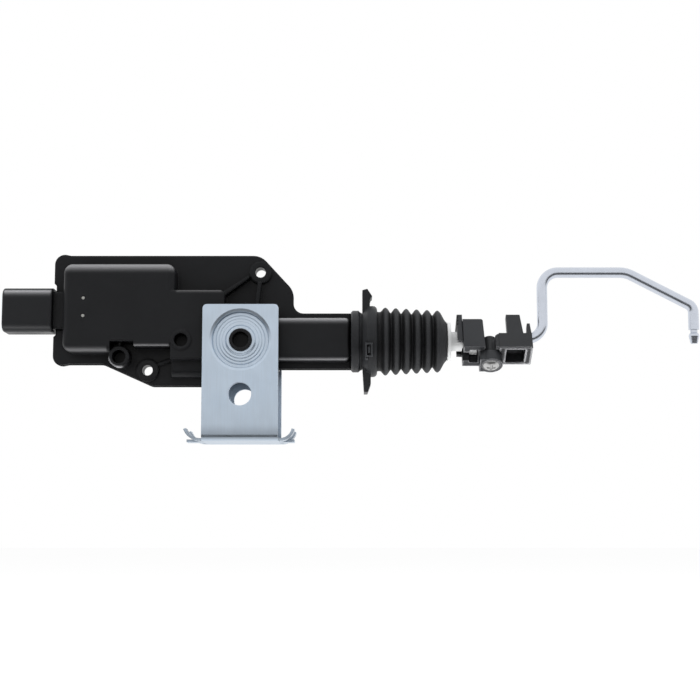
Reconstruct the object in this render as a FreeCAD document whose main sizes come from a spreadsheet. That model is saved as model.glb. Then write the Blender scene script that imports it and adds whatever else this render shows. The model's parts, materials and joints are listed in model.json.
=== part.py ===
# Electric door latch actuator: two-shell housing with its drive, rubber boot, plunger,
# plastic link, bent rod and swivelling bracket. Millimetres, +X along the rod, +Z up.
# The origin is the middle of the bracket's lower cross hole, on the parting plane.
import FreeCAD, Part
import Sketcher
import math
import os

from FreeCAD import Placement, Rotation, Vector

# Each driving size: its name, its value and what it measures.
SIZES = [
    ("plunger_height", 25.2, "plunger axis above the cross hole"),
    ("stroke", 16.0, "travel of the plunger"),
    ("seat_gap", 0.3, "clearance between pieces that rest on each other"),
    ("run_gap", 0.06, "radial clearance of a shaft in its hole"),
    ("skin", 2.0, "thickness of each shell's flange"),
    ("wall", 2.0, "wall of the shells' boxes"),
    ("cover_inset", 0.4, "step from the base's outline to the cover's"),
    # Flange outline
    ("flange_left", -85.5, "left edge of the flange"),
    ("notch_depth", 1.0, "step of the left edge beside the connector"),
    ("notch_low", 28.0, "lower notch on the left edge"),
    ("notch_high", 50.6, "upper notch on the left edge"),
    ("flange_top", 64.4, "top edge of the flange"),
    ("flange_low_left", 14.6, "lower edge under the motor"),
    ("flange_low", 4.7, "lower edge under the gears"),
    ("flange_slope_start", -62.5, "start of the sloped lower edge"),
    ("flange_slope_end", -40.4, "end of the sloped lower edge"),
    ("flange_low_end", -12.0, "end of the lower edge, behind the bracket"),
    ("flange_pip", 0.5, "how far the left corners stand proud of the long edges"),
    ("pip_length", 4.8, "length of those proud corners"),
    ("shoulder_x", 22.7, "right edge of the shoulder above the tube"),
    ("shoulder_z", 48.3, "lower end of the shoulder's slope"),
    ("shoulder_top_x", 7.9, "upper end of the shoulder's slope"),
    ("flange_corner", 4.5, "radius of the flange's left corners"),
    ("shoulder_round", 8.0, "radius of the shoulder's corners"),
    ("shoulder_hollow", 4.5, "radius where the shoulder meets the tube"),
    # Tube
    ("tube_end", 48.6, "end of the shells' tube"),
    ("tube_flange_half", 12.8, "half height of the tube's flanges"),
    ("tube_half", 9.6, "half height of the tube's bulge"),
    ("tube_depth", 10.0, "depth of the tube's bulge on each side"),
    ("tube_bore", 6.5, "radius of the channel in the tube"),
    ("tube_edge", 2.0, "radius of the tube's long edges"),
    # Motor box
    ("box_left", -79.3, "left wall of the motor box"),
    ("box_right", -29.5, "right wall of the motor box"),
    ("box_low", 19.2, "bottom of the motor box"),
    ("box_top", 58.8, "top of the motor box"),
    ("box_depth", 12.5, "depth of the motor box on each side"),
    ("recess_left", -58.1, "left side of the recess around the blind boss"),
    ("recess_right", -47.5, "right side of that recess"),
    ("recess_top", 23.9, "top of that recess"),
    ("box_low_right", 21.6, "bottom of the motor box right of the recess"),
    ("box_corner", 4.0, "radius of the motor box's upright corners"),
    ("box_edge", 3.0, "radius of the motor box's front edges"),
    # Gear box
    ("gear_box_left", -31.2, "left wall of the gear box"),
    ("gear_box_right", 16.2, "right wall of the gear box"),
    ("gear_box_low", 12.6, "bottom of the gear box on the base"),
    ("gear_front_low", 15.9, "bottom of the gear box on the cover"),
    ("gear_box_top", 38.0, "top of the gear box"),
    ("worm_box_right", -7.6, "right wall of the worm's box"),
    ("worm_box_top", 46.8, "top of the worm's box"),
    ("gear_box_depth", 11.0, "depth of the gear box on each side"),
    ("keel_low", 8.6, "underside of the rounded keel below the gear box"),
    ("keel_depth", 7.5, "depth of the keel"),
    ("keel_right", 15.6, "right end of the keel"),
    ("keel_edge", 3.0, "radius of the keel's lower edge"),
    ("rib_depth", 6.5, "depth of the ribs above the gear box"),
    ("rib", 1.3, "thickness of the ribs"),
    # Screw holes and bosses
    ("screw_upper_x", 7.9, "upper screw hole"),
    ("screw_upper_z", 56.1, "upper screw hole"),
    ("screw_lower_x", -42.3, "lower screw hole"),
    ("screw_lower_z", 11.8, "lower screw hole"),
    ("screw_radius", 2.35, "radius of the screw holes"),
    ("screw_boss", 5.0, "radius of the screw bosses"),
    ("screw_boss_depth", 4.0, "depth of the screw bosses on each side"),
    ("socket_one_x", -54.2, "blind boss below the motor box"),
    ("socket_one_z", 17.2, "blind boss below the motor box"),
    ("socket_two_x", -26.6, "blind boss on the gear box"),
    ("socket_two_z", 24.4, "blind boss on the gear box"),
    ("socket_radius", 3.0, "radius of the blind holes"),
    ("socket_wall", 1.6, "wall of the blind bosses"),
    ("socket_depth", 7.0, "depth of the blind holes"),
    ("socket_one_front", 10.6, "front of the boss below the motor box"),
    ("socket_two_front", 12.9, "front of the boss on the gear box"),
    # Trunnions and bracket
    ("trunnion_height", 24.0, "trunnion axis above the cross hole"),
    ("trunnion_radius", 4.9, "radius of the trunnions"),
    ("trunnion_hollow", 3.6, "radius of the recess in each trunnion"),
    ("trunnion_hollow_depth", 5.0, "depth of that recess"),
    ("trunnion_reach", 16.9, "how far each trunnion stands out"),
    ("shoulder_radius", 8.2, "radius of the trunnion's shoulder"),
    ("plate_out", 17.0, "outer face of each bracket plate"),
    ("sheet", 1.5, "thickness of the bracket's sheet"),
    ("plate_half", 16.7, "half width of the bracket's plates"),
    ("plate_top", 39.7, "top of the bracket's plates"),
    ("web_low", -20.3, "underside of the bracket's web"),
    ("bend_radius", 2.6, "outer radius of the bracket's bends"),
    ("plate_corner", 1.9, "radius of the plates' top corners"),
    ("cross_hole", 5.0, "radius of the lower cross hole"),
    ("dish_radius", 13.7, "outer radius of the dish"),
    ("dish_floor", 12.2, "outer radius of the dish's floor"),
    ("dish_depth", 2.6, "depth of the dish"),
    ("dish_rise", 6.9, "radius where the dish rises to its hole"),
    ("dish_rings", 3, "ring steps pressed in the dish's floor"),
    ("ring_step", 0.22, "height of each ring step"),
    ("dish_lip", 1.3, "height of the lip around the hole"),
    ("dish_bevel", 1.2, "width of the dish's outer bevel"),
    ("ear_width", 8.0, "width of each ear"),
    ("ear_spacing", 10.5, "distance of the curled ears from the middle"),
    ("ear_reach_left", 8.1, "how far the left ears stand out"),
    ("ear_reach_right", 7.1, "how far the right ears stand out"),
    ("ear_straight", 0.8, "straight start of the curled ears"),
    ("ear_rise", 5.2, "how far the curled ears rise"),
    ("ear_sheet", 1.2, "thickness of the ears"),
    # Drive
    ("motor_rise", 13.2, "motor axis above the plunger's axis"),
    ("can_radius", 12.1, "radius of the motor's can"),
    ("can_half", 10.0, "half thickness across the can's flats"),
    ("can_wall", 1.2, "wall of the can"),
    ("can_rear", -64.3, "rear end of the motor"),
    ("can_front", -33.3, "front face of the can"),
    ("cap_depth", 2.4, "thickness of the motor's end cap"),
    ("motor_shaft", 1.0, "radius of the motor's shaft"),
    ("bush_radius", 2.8, "radius of the motor's bushes"),
    ("can_room", 9.4, "inner radius of the can"),
    ("armature_radius", 7.2, "radius of the armature"),
    ("armature_length", 17.0, "length of the armature"),
    ("commutator_radius", 2.7, "radius of the commutator"),
    ("commutator_length", 4.0, "length of the commutator"),
    ("armature_slot", 2.4, "width of the armature's slots"),
    ("air_gap", 0.35, "gap between the armature and the magnets"),
    ("brush_width", 2.4, "width of the brushes along the shaft"),
    ("brush_reach", 3.6, "length of the brushes across the shaft"),
    ("brush_height", 1.8, "height of the brushes"),
    ("worm_radius", 3.9, "outer radius of the worm"),
    ("worm_root", 2.6, "root radius of the worm"),
    ("worm_left", -20.5, "left end of the worm"),
    ("worm_length", 8.0, "length of the worm"),
    ("worm_starts", 2, "threads of the worm"),
    ("gear_x", -16.5, "gear axis along the part"),
    ("gear_drop", 12.95, "gear axis below the motor's axis"),
    ("wheel_module", 0.7, "module of the worm wheel"),
    ("wheel_teeth", 26, "teeth of the worm wheel"),
    ("wheel_half", 2.0, "half width of the worm wheel"),
    ("pinion_module", 0.8, "module of the pinion"),
    ("pinion_teeth", 12, "teeth of the pinion"),
    ("pinion_back", 8.6, "rear face of the pinion"),
    ("axle_radius", 1.5, "radius of the gear axle"),
    ("axle_reach", 6.0, "how far the axle reaches to the front"),
    # Plunger
    ("shaft_radius", 4.4, "radius of the plunger's shaft"),
    ("shaft_rear", 9.7, "rear end of the plunger's shaft"),
    ("arm_length", 3.5, "length of the arm that carries the rack"),
    ("arm_front", 3.0, "front face of the arm"),
    ("rack_front", 3.0, "front face of the rack"),
    ("rack_back", 8.5, "rear face of the rack"),
    ("rack_body", 5.05, "underside of the rack below its pitch line"),
    ("rack_tail", 2.4, "end of the rack behind the gear axis, with the plunger out"),
    ("disc_x", 91.7, "plunger's disc"),
    ("disc_length", 1.5, "thickness of the disc"),
    ("disc_radius", 8.65, "radius of the disc"),
    ("bumper", 1.6, "thickness of the rubber end stops"),
    ("neck_x", 98.4, "start of the neck behind the head"),
    ("neck_radius", 3.0, "radius of the neck"),
    ("head_x", 101.8, "start of the square head"),
    ("head_length", 3.4, "length of the square head"),
    ("head_half", 4.2, "half width of the square head"),
    # Nose, collar, retainer and boot
    ("bush_rear", 37.0, "rear end of the guide bush"),
    ("bush_flange", 11.4, "radius of the bush's flange"),
    ("nose_radius", 9.2, "radius of the bush's nose"),
    ("nose_end", 60.0, "end of the bush's nose"),
    ("collar_radius", 13.9, "outer radius of the collar"),
    ("collar_length", 4.1, "length of the collar"),
    ("retainer_x", 53.8, "rear face of the boot retainer"),
    ("retainer_plate", 2.0, "thickness of the retainer's plate"),
    ("cup_length", 4.5, "length of the retainer's cup"),
    ("cup_radius", 16.0, "outer radius of the retainer's cup"),
    ("cup_wall", 2.0, "wall of the retainer's cup"),
    ("cup_round", 1.8, "radius of the cup's shoulders"),
    ("hub_radius", 12.7, "radius of the retainer's hub behind the cup"),
    ("barb_top", 48.3, "top of the retainer's upper barb"),
    ("wing_low", 1.8, "end of the retainer's lower wing"),
    ("wing_width", 12.0, "width of the barb and the wing"),
    ("fold_first", 64.1, "first crest of the boot"),
    ("fold_pitch", 4.67, "distance between the boot's crests"),
    ("fold_count", 6, "crests of the boot"),
    ("crest_radius", 15.3, "radius of the first crest"),
    ("crest_taper", 0.27, "how much smaller each next crest is"),
    ("fold_depth", 2.4, "depth of the boot's folds"),
    ("rubber", 1.3, "wall of the boot"),
    # Link
    ("link_roll", 30.0, "turn of the link about the plunger's axis"),
    ("yoke_left", 98.7, "left face of the yoke"),
    ("yoke_right", 108.2, "right face of the yoke"),
    ("yoke_half", 7.3, "half depth of the yoke"),
    ("yoke_low", 8.3, "underside of the yoke below the axis"),
    ("yoke_top", 7.2, "top of the yoke above the axis"),
    ("yoke_slant", 0.5, "slant of the yoke's right face"),
    ("yoke_wall", 2.9, "wall of the yoke that the neck passes"),
    ("key_x", 96.2, "left face of the key"),
    ("key_length", 2.4, "thickness of the key"),
    ("key_notch", 0.9, "depth of the key's serrations"),
    ("key_half", 6.4, "half width of the key"),
    ("key_low", 3.9, "lower end of the key's legs below the axis"),
    ("key_top", 10.4, "top of the key above the axis"),
    ("pivot_x", 110.9, "link pivot along the part"),
    ("knuckle_radius", 5.2, "radius of the yoke's knuckle"),
    ("knuckle_low", 13.4, "underside of the knuckle below the axis"),
    ("eye_radius", 3.0, "radius of the clip's eye"),
    ("eye_top", 1.0, "top of the clip's eye above the axis"),
    ("link_screw", 1.6, "radius of the link screw's shank"),
    ("screw_head", 3.6, "radius of the link screw's head"),
    ("screw_head_depth", 1.8, "height of the link screw's head"),
    ("clip_left", 114.6, "left face of the clip's block"),
    ("clip_right", 129.4, "right face of the clip's block"),
    ("clip_half", 6.4, "half depth of the clip"),
    ("clip_low", 8.1, "underside of the clip below the axis"),
    ("tower_left", 118.4, "left side of the clip's tower"),
    ("tower_width", 6.2, "width of the clip's tower at its top"),
    ("tower_top", 10.4, "top of the clip's tower above the axis"),
    ("fin_top", 5.4, "top of the clip's fin above the axis"),
    ("fin_width", 1.3, "width of the clip's fin at its top"),
    ("clip_draft", 1.2, "how much wider the tower and the fin are at their foot"),
    ("clip_web", 1.6, "walls around the hollow under the clip"),
    ("clip_front", 0.0, "top of the clip's front wall above the axis"),
    # Rod
    ("rod_radius", 2.38, "radius of the rod"),
    ("rod_start", 117.6, "end of the rod in the clip"),
    ("rod_rise", 1.4, "lower run of the rod above the plunger's axis"),
    ("rod_riser", 134.9, "upright run of the rod"),
    ("bridge_rise", 30.1, "upper run of the rod above its lower run"),
    ("slope_start", 173.0, "where the rod starts to slope down"),
    ("slope_end", 203.1, "upright end of the rod"),
    ("slope_drop", 15.7, "drop of the slope"),
    ("neck_drop", 26.1, "start of the neck below the upper run"),
    ("tip_drop", 32.4, "end of the tip below the upper run"),
    ("neck_slim", 1.6, "radius of the neck above the tip"),
    ("neck_gap", 1.5, "length of that neck"),
    ("bend_lower", 6.8, "radius of the bend below the riser"),
    ("bend_upper", 7.2, "radius of the bend above the riser"),
    ("bend_slope", 12.0, "radius of the bend before the slope"),
    ("bend_end", 4.2, "radius of the bend above the tip"),
    # Connector
    ("shroud_end", -107.3, "open end of the connector"),
    ("shroud_back", -85.0, "rear wall of the connector"),
    ("shroud_height", 38.85, "connector axis above the cross hole"),
    ("shroud_half", 9.9, "half height of the connector"),
    ("shroud_depth", 8.0, "half depth of the connector"),
    ("shroud_wall", 1.7, "wall of the connector"),
    ("shroud_floor", 3.5, "thickness of the connector's floor"),
    ("shroud_round", 4.0, "radius of the connector's corners"),
    ("shroud_rim", 1.0, "radius of the connector's outer rim"),
    ("throat_half", 8.4, "half height of the connector's throat"),
    ("throat_depth", 4.6, "half depth of the connector's throat"),
    ("pin_x", -70.1, "terminal pins along the part"),
    ("blade_above", 4.25, "upper terminal above the connector's axis"),
    ("blade_below", 3.65, "lower terminal below the connector's axis"),
    ("pin_radius", 0.7, "radius of the terminal pins"),
    ("blade_tip", -101.0, "tip of the terminal blades"),
    ("blade_half", 2.4, "half width of the terminal blades"),
    ("blade_sheet", 0.8, "thickness of the terminal blades"),
    ("breaker_half", 4.0, "half depth of the circuit breaker"),
    ("breaker_height", 5.0, "height of the circuit breaker"),
]

# Places that follow from the sizes.
MOTOR_HEIGHT = "(dim.plunger_height + dim.motor_rise)"
GEAR_HEIGHT = f"({MOTOR_HEIGHT} - dim.gear_drop)"
PITCH_LINE = f"({GEAR_HEIGHT} - dim.pinion_module * dim.pinion_teeth / 2)"
RACK_LOW = f"({PITCH_LINE} - dim.rack_body)"
RACK_ROOM_TOP = f"({PITCH_LINE} + dim.pinion_module * 2)"
RACK_END = "(dim.gear_x - dim.rack_tail)"
BOX_INNER = "(dim.box_left + dim.wall)"
ROD_HEIGHT = "(dim.plunger_height + dim.rod_rise)"
ROD_TOP = f"({ROD_HEIGHT} + dim.bridge_rise)"
TERMINAL_HEIGHT = {
    "upper": "(dim.shroud_height + dim.blade_above)",
    "lower": "(dim.shroud_height - dim.blade_below)",
}
# The rod's place in the link, which is turned about the plunger's axis.
ROD_ACROSS = "(-dim.rod_rise * sin(dim.link_roll))"
ROD_UP = "(dim.rod_rise * cos(dim.link_roll))"

doc = FreeCAD.newDocument("door_latch_actuator")
sheet = doc.addObject("Spreadsheet::Sheet", "dim")
for row, (alias, value, meaning) in enumerate(SIZES, start=1):
    sheet.set("A%d" % row, meaning)
    sheet.set("B%d" % row, str(value))
    sheet.setAlias("B%d" % row, alias)
doc.recompute()

# Turns an expression over the sheet into its present number.
reader = doc.addObject("App::FeaturePython", "reader")
reader.addProperty("App::PropertyFloat", "number")
nodes = []


def size(expression):
    """The present value of an expression over the sheet's names."""
    reader.setExpression("number", expression)
    reader.recompute()
    return reader.number


def body(label):
    """A new sub-part made of sketches and features."""
    made = doc.addObject("PartDesign::Body", label)
    made.Label = label
    nodes.append(made)
    return made


def origin_plane(of_body, role):
    """One of a body's own origin planes."""
    return [item for item in of_body.Origin.OriginFeatures if item.Role == role][0]


def bind(sketch, kind, element, point, expression):
    """Ties one coordinate of a sketch point to an expression."""
    constraint = Sketcher.Constraint(kind, -1, 1, element, point, size(expression))
    index = sketch.addConstraint(constraint)
    sketch.setExpression("Constraints[%d]" % index, expression)


def new_sketch(of_body, name, role, lift="0", shift=("0", "0")):
    """A sketch on an origin plane, raised by lift along its normal."""
    sketch = of_body.newObject("Sketcher::SketchObject", name)
    sketch.AttachmentSupport = [(origin_plane(of_body, role), "")]
    sketch.MapMode = "FlatFace"
    sketch.setExpression("AttachmentOffset.Base.x", shift[0])
    sketch.setExpression("AttachmentOffset.Base.y", shift[1])
    sketch.setExpression("AttachmentOffset.Base.z", lift)
    return sketch


def add_polygon(sketch, corners):
    """A closed outline whose corners are pairs of expressions."""
    first = sketch.GeometryCount
    count = len(corners)
    points = [Vector(size(across), size(up), 0) for across, up in corners]
    for index in range(count):
        sketch.addGeometry(Part.LineSegment(points[index], points[(index + 1) % count]), False)
    for index in range(count):
        following = first + (index + 1) % count
        sketch.addConstraint(Sketcher.Constraint("Coincident", first + index, 2, following, 1))
    for index, (across, up) in enumerate(corners):
        bind(sketch, "DistanceX", first + index, 1, across)
        bind(sketch, "DistanceY", first + index, 1, up)


def add_circle(sketch, across, up, radius):
    """A circle whose centre and radius are expressions."""
    middle = Vector(size(across), size(up), 0)
    element = sketch.addGeometry(Part.Circle(middle, Vector(0, 0, 1), size(radius)), False)
    bind(sketch, "DistanceX", element, 3, across)
    bind(sketch, "DistanceY", element, 3, up)
    index = sketch.addConstraint(Sketcher.Constraint("Radius", element, size(radius)))
    sketch.setExpression("Constraints[%d]" % index, radius)


def rectangle(left, low, right, high):
    """The four corners of a rectangle."""
    return [(left, low), (right, low), (right, high), (left, high)]


def extrude(of_body, name, role, low, high, corners=None, circles=(), cut=False):
    """A pad or a pocket between two heights on the axis that the plane faces."""
    facing_back = role == "XZ_Plane"
    start = high if facing_back != cut else low
    lift = "-(%s)" % start if facing_back else start
    sketch = new_sketch(of_body, name + "_sketch", role, lift)
    if corners:
        add_polygon(sketch, corners)
    for circle in circles:
        add_circle(sketch, *circle)
    kind = "PartDesign::Pocket" if cut else "PartDesign::Pad"
    feature = of_body.newObject(kind, name)
    feature.Profile = sketch
    feature.setExpression("Length", "(%s) - (%s)" % (high, low))
    return feature


def revolve(of_body, name, corners, height, cut=False):
    """Turns an outline of (along X, radius) about an axis along X at a height."""
    sketch = new_sketch(of_body, name + "_sketch", "XZ_Plane", "0", ("0", height))
    add_polygon(sketch, corners)
    feature = of_body.newObject("PartDesign::Groove" if cut else "PartDesign::Revolution", name)
    feature.Profile = sketch
    feature.ReferenceAxis = (sketch, ["H_Axis"])
    feature.Angle = 360
    return feature


def fillet(of_body, name, radius, wanted):
    """Rounds the edges of the body's last feature that the test picks."""
    doc.recompute()
    base = of_body.Tip
    picked = []
    for number, edge in enumerate(base.Shape.Edges, start=1):
        if wanted(edge):
            picked.append("Edge%d" % number)
    if not picked:
        raise ValueError("no edge to round for " + name)
    feature = of_body.newObject("PartDesign::Fillet", name)
    feature.Base = (base, picked)
    feature.setExpression("Radius", radius)
    doc.recompute()
    if "Invalid" in feature.State or "Error" in feature.State:
        raise RuntimeError("%s could not be rounded" % name)
    return feature


def near(value, target, slack=0.02):
    return abs(value - target) < slack


def upright_at(axis, places):
    """A test for straight edges along an axis (0, 1 or 2) that pass through given places."""
    across = [index for index in range(3) if index != axis]
    spots = [(size(first), size(second)) for first, second in places]

    def wanted(edge):
        if edge.Curve.TypeId != "Part::GeomLine" or not near(abs(edge.Curve.Direction[axis]), 1, 1e-4):
            return False
        spot = edge.Vertexes[0].Point
        return any(near(spot[across[0]], u) and near(spot[across[1]], v) for u, v in spots)

    return wanted


def in_plane(axis, place, inside=None):
    """A test for edges that lie in a plane across an axis, within an optional box."""
    level = size(place)

    def wanted(edge):
        box = edge.BoundBox
        low = (box.XMin, box.YMin, box.ZMin)[axis]
        high = (box.XMax, box.YMax, box.ZMax)[axis]
        if not (near(low, level) and near(high, level)):
            return False
        return inside is None or inside(edge.CenterOfMass)

    return wanted


def circle_at(axis, place, radius):
    """A test for circles of one radius whose centre lies in a plane across an axis."""
    level = size(place)
    wide = size(radius)

    def wanted(edge):
        if edge.Curve.TypeId != "Part::GeomCircle" or not near(edge.Curve.Radius, wide):
            return False
        return near(edge.Curve.Center[axis], level)

    return wanted


def solid_of(label, shape):
    """A sub-part whose shape is worked out here from the sheet's sizes."""
    made = doc.addObject("Part::Feature", label)
    made.Label = label
    made.Shape = shape
    nodes.append(made)
    return made


def cylinder_x(radius, left, right, height):
    return Part.makeCylinder(radius, right - left, Vector(left, 0, height), Vector(1, 0, 0))


# Housing: what both shells share


def flange_outline(inset):
    """Outer outline of a shell's flange, moved inwards by inset."""
    left = f"dim.flange_left + {inset}"
    notch = f"{left} + dim.notch_depth"
    low_left = f"dim.flange_low_left + {inset}"
    low = f"dim.flange_low + {inset}"
    top = f"dim.flange_top - {inset}"
    tube_low = f"dim.plunger_height - dim.tube_flange_half + {inset}"
    tube_high = f"dim.plunger_height + dim.tube_flange_half - {inset}"
    shoulder = f"dim.shoulder_x - {inset}"
    pip = f"{left} + dim.pip_length"
    pip_foot = f"{pip} + dim.flange_pip * 5"
    return [
        (left, f"{low_left} - dim.flange_pip"),
        (pip, f"{low_left} - dim.flange_pip"),
        (pip_foot, low_left),
        ("dim.flange_slope_start", low_left),
        ("dim.flange_slope_end", low),
        ("dim.flange_low_end", low),
        ("dim.flange_low_end + dim.notch_depth", tube_low),
        ("dim.tube_end", tube_low),
        ("dim.tube_end", tube_high),
        (shoulder, tube_high),
        (shoulder, "dim.shoulder_z"),
        ("dim.shoulder_top_x", top),
        (pip_foot, top),
        (pip, f"{top} + dim.flange_pip"),
        (left, f"{top} + dim.flange_pip"),
        (left, "dim.notch_high + dim.notch_depth"),
        (notch, "dim.notch_high"),
        (notch, "dim.notch_low"),
        (left, "dim.notch_low - dim.notch_depth"),
    ]


MOTOR_BOX = [
    ("dim.box_left", "dim.box_low"),
    ("dim.recess_left", "dim.box_low"),
    ("dim.recess_left", "dim.recess_top"),
    ("dim.recess_right", "dim.recess_top"),
    ("dim.recess_right", "dim.box_low_right"),
    ("dim.box_right", "dim.box_low_right"),
    ("dim.box_right", "dim.box_top"),
    ("dim.box_left", "dim.box_top"),
]
GEAR_LOW = {True: "dim.gear_front_low", False: "dim.gear_box_low"}
# The worm's box is as deep as the motor box and starts where that one's face is still flat.
WORM_BOX_START = "dim.box_right - dim.box_edge * 1.1"
WORM_BOX_FOOT = "dim.box_low_right + dim.box_edge / 2"
TUBE = rectangle(
    "dim.gear_box_right - dim.wall",
    "dim.plunger_height - dim.tube_half",
    "dim.tube_end",
    "dim.plunger_height + dim.tube_half",
)
MOTOR_ROOM = rectangle(
    "dim.can_rear - dim.seat_gap",
    f"{MOTOR_HEIGHT} - dim.can_radius - dim.seat_gap",
    "dim.can_front + dim.seat_gap",
    f"{MOTOR_HEIGHT} + dim.can_radius + dim.seat_gap",
)
TERMINAL_ROOM = rectangle(BOX_INNER, "dim.box_low + dim.wall * 1.5", "dim.can_rear", "dim.box_top - dim.wall")
WORM_ROOM = rectangle(
    "dim.can_front",
    f"{MOTOR_HEIGHT} - dim.worm_radius * 1.25",
    "dim.worm_box_right - dim.wall",
    f"{MOTOR_HEIGHT} + dim.worm_radius * 1.25",
)
SHAFT_ROOM_END = "dim.shaft_rear - dim.stroke - dim.seat_gap * 2"
ARM_STOP = "(dim.gear_box_right - dim.wall / 2)"
RACK_STOP = f"({RACK_END} - dim.stroke - dim.seat_gap)"
THROAT = rectangle(
    "dim.flange_left * 2 - dim.box_left",
    "dim.shroud_height - dim.throat_half - dim.run_gap",
    BOX_INNER,
    "dim.shroud_height + dim.throat_half + dim.run_gap",
)


def shell(label, front, inset):
    """One shell: its flange, boxes and rooms. The front shell lies on -Y, the rear on +Y."""
    made = body(label)

    def span(near_face, far_face):
        if front:
            return "-(%s)" % far_face, "-(%s)" % near_face
        return near_face, far_face

    def add(name, depth, corners=None, circles=(), start="0"):
        low, high = span(start, depth)
        extrude(made, label + "_" + name, "XZ_Plane", low, high, corners, circles)

    def cut(name, depth, corners=None, circles=(), start="0"):
        low, high = span(start, depth)
        extrude(made, label + "_" + name, "XZ_Plane", low, high, corners, circles, cut=True)

    # Flange with its rounded corners.
    corners = flange_outline(inset)
    add("flange", "dim.skin", corners)
    fillet(made, label + "_corners", "dim.flange_corner", upright_at(1, [corners[0], corners[14]]))
    fillet(made, label + "_shoulders", "dim.shoulder_round", upright_at(1, [corners[10], corners[11]]))
    fillet(made, label + "_hollow", "dim.shoulder_hollow",
           upright_at(1, [corners[9], corners[3], corners[4]]))

    # Motor box, rounded at its upright corners and around its face.
    add("motor_box", "dim.box_depth", MOTOR_BOX)
    round_places = [MOTOR_BOX[0], MOTOR_BOX[6], MOTOR_BOX[7]]
    fillet(made, label + "_box_corners", "dim.box_corner", upright_at(1, round_places))
    face = "-dim.box_depth" if front else "dim.box_depth"
    recess_left = size("dim.recess_left") - 0.1
    recess_right = size("dim.recess_right") + 0.1
    recess_top = size("dim.recess_top") + 0.1
    fillet(made, label + "_box_edges", "dim.box_edge", in_plane(
        1, face, lambda spot: spot.x < recess_left or spot.z > recess_top))
    fillet(made, label + "_ledge_edge", "dim.box_edge / 2.5", in_plane(
        1, face, lambda spot: spot.x > recess_right and spot.z < recess_top))

    # Gear box, worm box, tube and keel.
    gear_low = GEAR_LOW[front]
    add("gear_box", "dim.gear_box_depth", rectangle(
        "dim.gear_box_left", gear_low, "dim.gear_box_right", "dim.gear_box_top"))
    fillet(made, label + "_gear_corner", "dim.wall / 2",
           upright_at(1, [("dim.gear_box_right", "dim.gear_box_top")]))
    add("worm_box", "dim.box_depth", [
        (WORM_BOX_START, WORM_BOX_FOOT),
        ("dim.gear_box_left", WORM_BOX_FOOT),
        ("dim.gear_box_left", gear_low),
        ("dim.worm_box_right", gear_low),
        ("dim.worm_box_right", "dim.worm_box_top"),
        (WORM_BOX_START, "dim.worm_box_top"),
    ])
    fillet(made, label + "_worm_corner", "dim.wall",
           upright_at(1, [("dim.worm_box_right", "dim.worm_box_top")]))
    worm_top = size("dim.worm_box_top")
    box_right = size("dim.box_right")
    fillet(made, label + "_worm_edge", "dim.wall / 2", in_plane(
        1, face, lambda spot: near(spot.z, worm_top) and spot.x > box_right))
    add("tube", "dim.tube_depth", TUBE)
    fillet(made, label + "_tube_end", "dim.tube_edge * 1.5", upright_at(1, [TUBE[1], TUBE[2]]))
    tube_face = "-dim.tube_depth" if front else "dim.tube_depth"
    middle = size("dim.plunger_height")
    long_edge = size("dim.tube_half") - 0.1
    fillet(made, label + "_tube_edges", "dim.tube_edge",
           in_plane(1, tube_face, lambda spot: abs(spot.z - middle) > long_edge))
    add("keel", "dim.keel_depth", rectangle("dim.gear_box_left", "dim.keel_low", "dim.keel_right",
                                            gear_low + " + dim.wall / 2"))
    keel_face = "-dim.keel_depth" if front else "dim.keel_depth"
    low_edge = size("dim.keel_low")
    fillet(made, label + "_keel_edges", "dim.keel_edge",
           in_plane(1, keel_face, lambda spot: spot.z < low_edge + 0.1))

    # Screw bosses and trunnion.
    upper = ("dim.screw_upper_x", "dim.screw_upper_z")
    lower = ("dim.screw_lower_x", "dim.screw_lower_z")
    for name, place in (("upper", upper), ("lower", lower)):
        add("screw_boss_" + name, "dim.screw_boss_depth", None, [place + ("dim.screw_boss",)])
    axis = ("0", "dim.trunnion_height")
    add("shoulder", "dim.plate_out - dim.sheet - dim.dish_depth - dim.seat_gap", None,
        [axis + ("dim.shoulder_radius",)], "dim.gear_box_depth - 1")
    add("trunnion", "dim.trunnion_reach", None, [axis + ("dim.trunnion_radius",)], "dim.gear_box_depth - 1")
    cut("trunnion_recess", "dim.trunnion_reach", None, [axis + ("dim.trunnion_hollow",)],
        "dim.trunnion_reach - dim.trunnion_hollow_depth")

    # Rooms for the motor, the terminals and the worm.
    cut("motor_room", "dim.can_half + dim.seat_gap", MOTOR_ROOM)
    cut("terminal_room", "dim.can_half + dim.seat_gap", TERMINAL_ROOM)
    cut("worm_room", "dim.gear_box_depth - dim.wall", WORM_ROOM)
    cut("throat", "dim.throat_depth + dim.run_gap", THROAT)

    # Channel of the plunger's shaft, as a groove about its axis.
    revolve(made, label + "_shaft_room", rectangle(SHAFT_ROOM_END, "0", "dim.tube_end + 1", "dim.tube_bore"),
            "dim.plunger_height", cut=True)
    # Screw holes go right through.
    cut("screw_holes", "dim.screw_boss_depth", None,
        [upper + ("dim.screw_radius",), lower + ("dim.screw_radius",)])
    return made, add, cut


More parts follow.
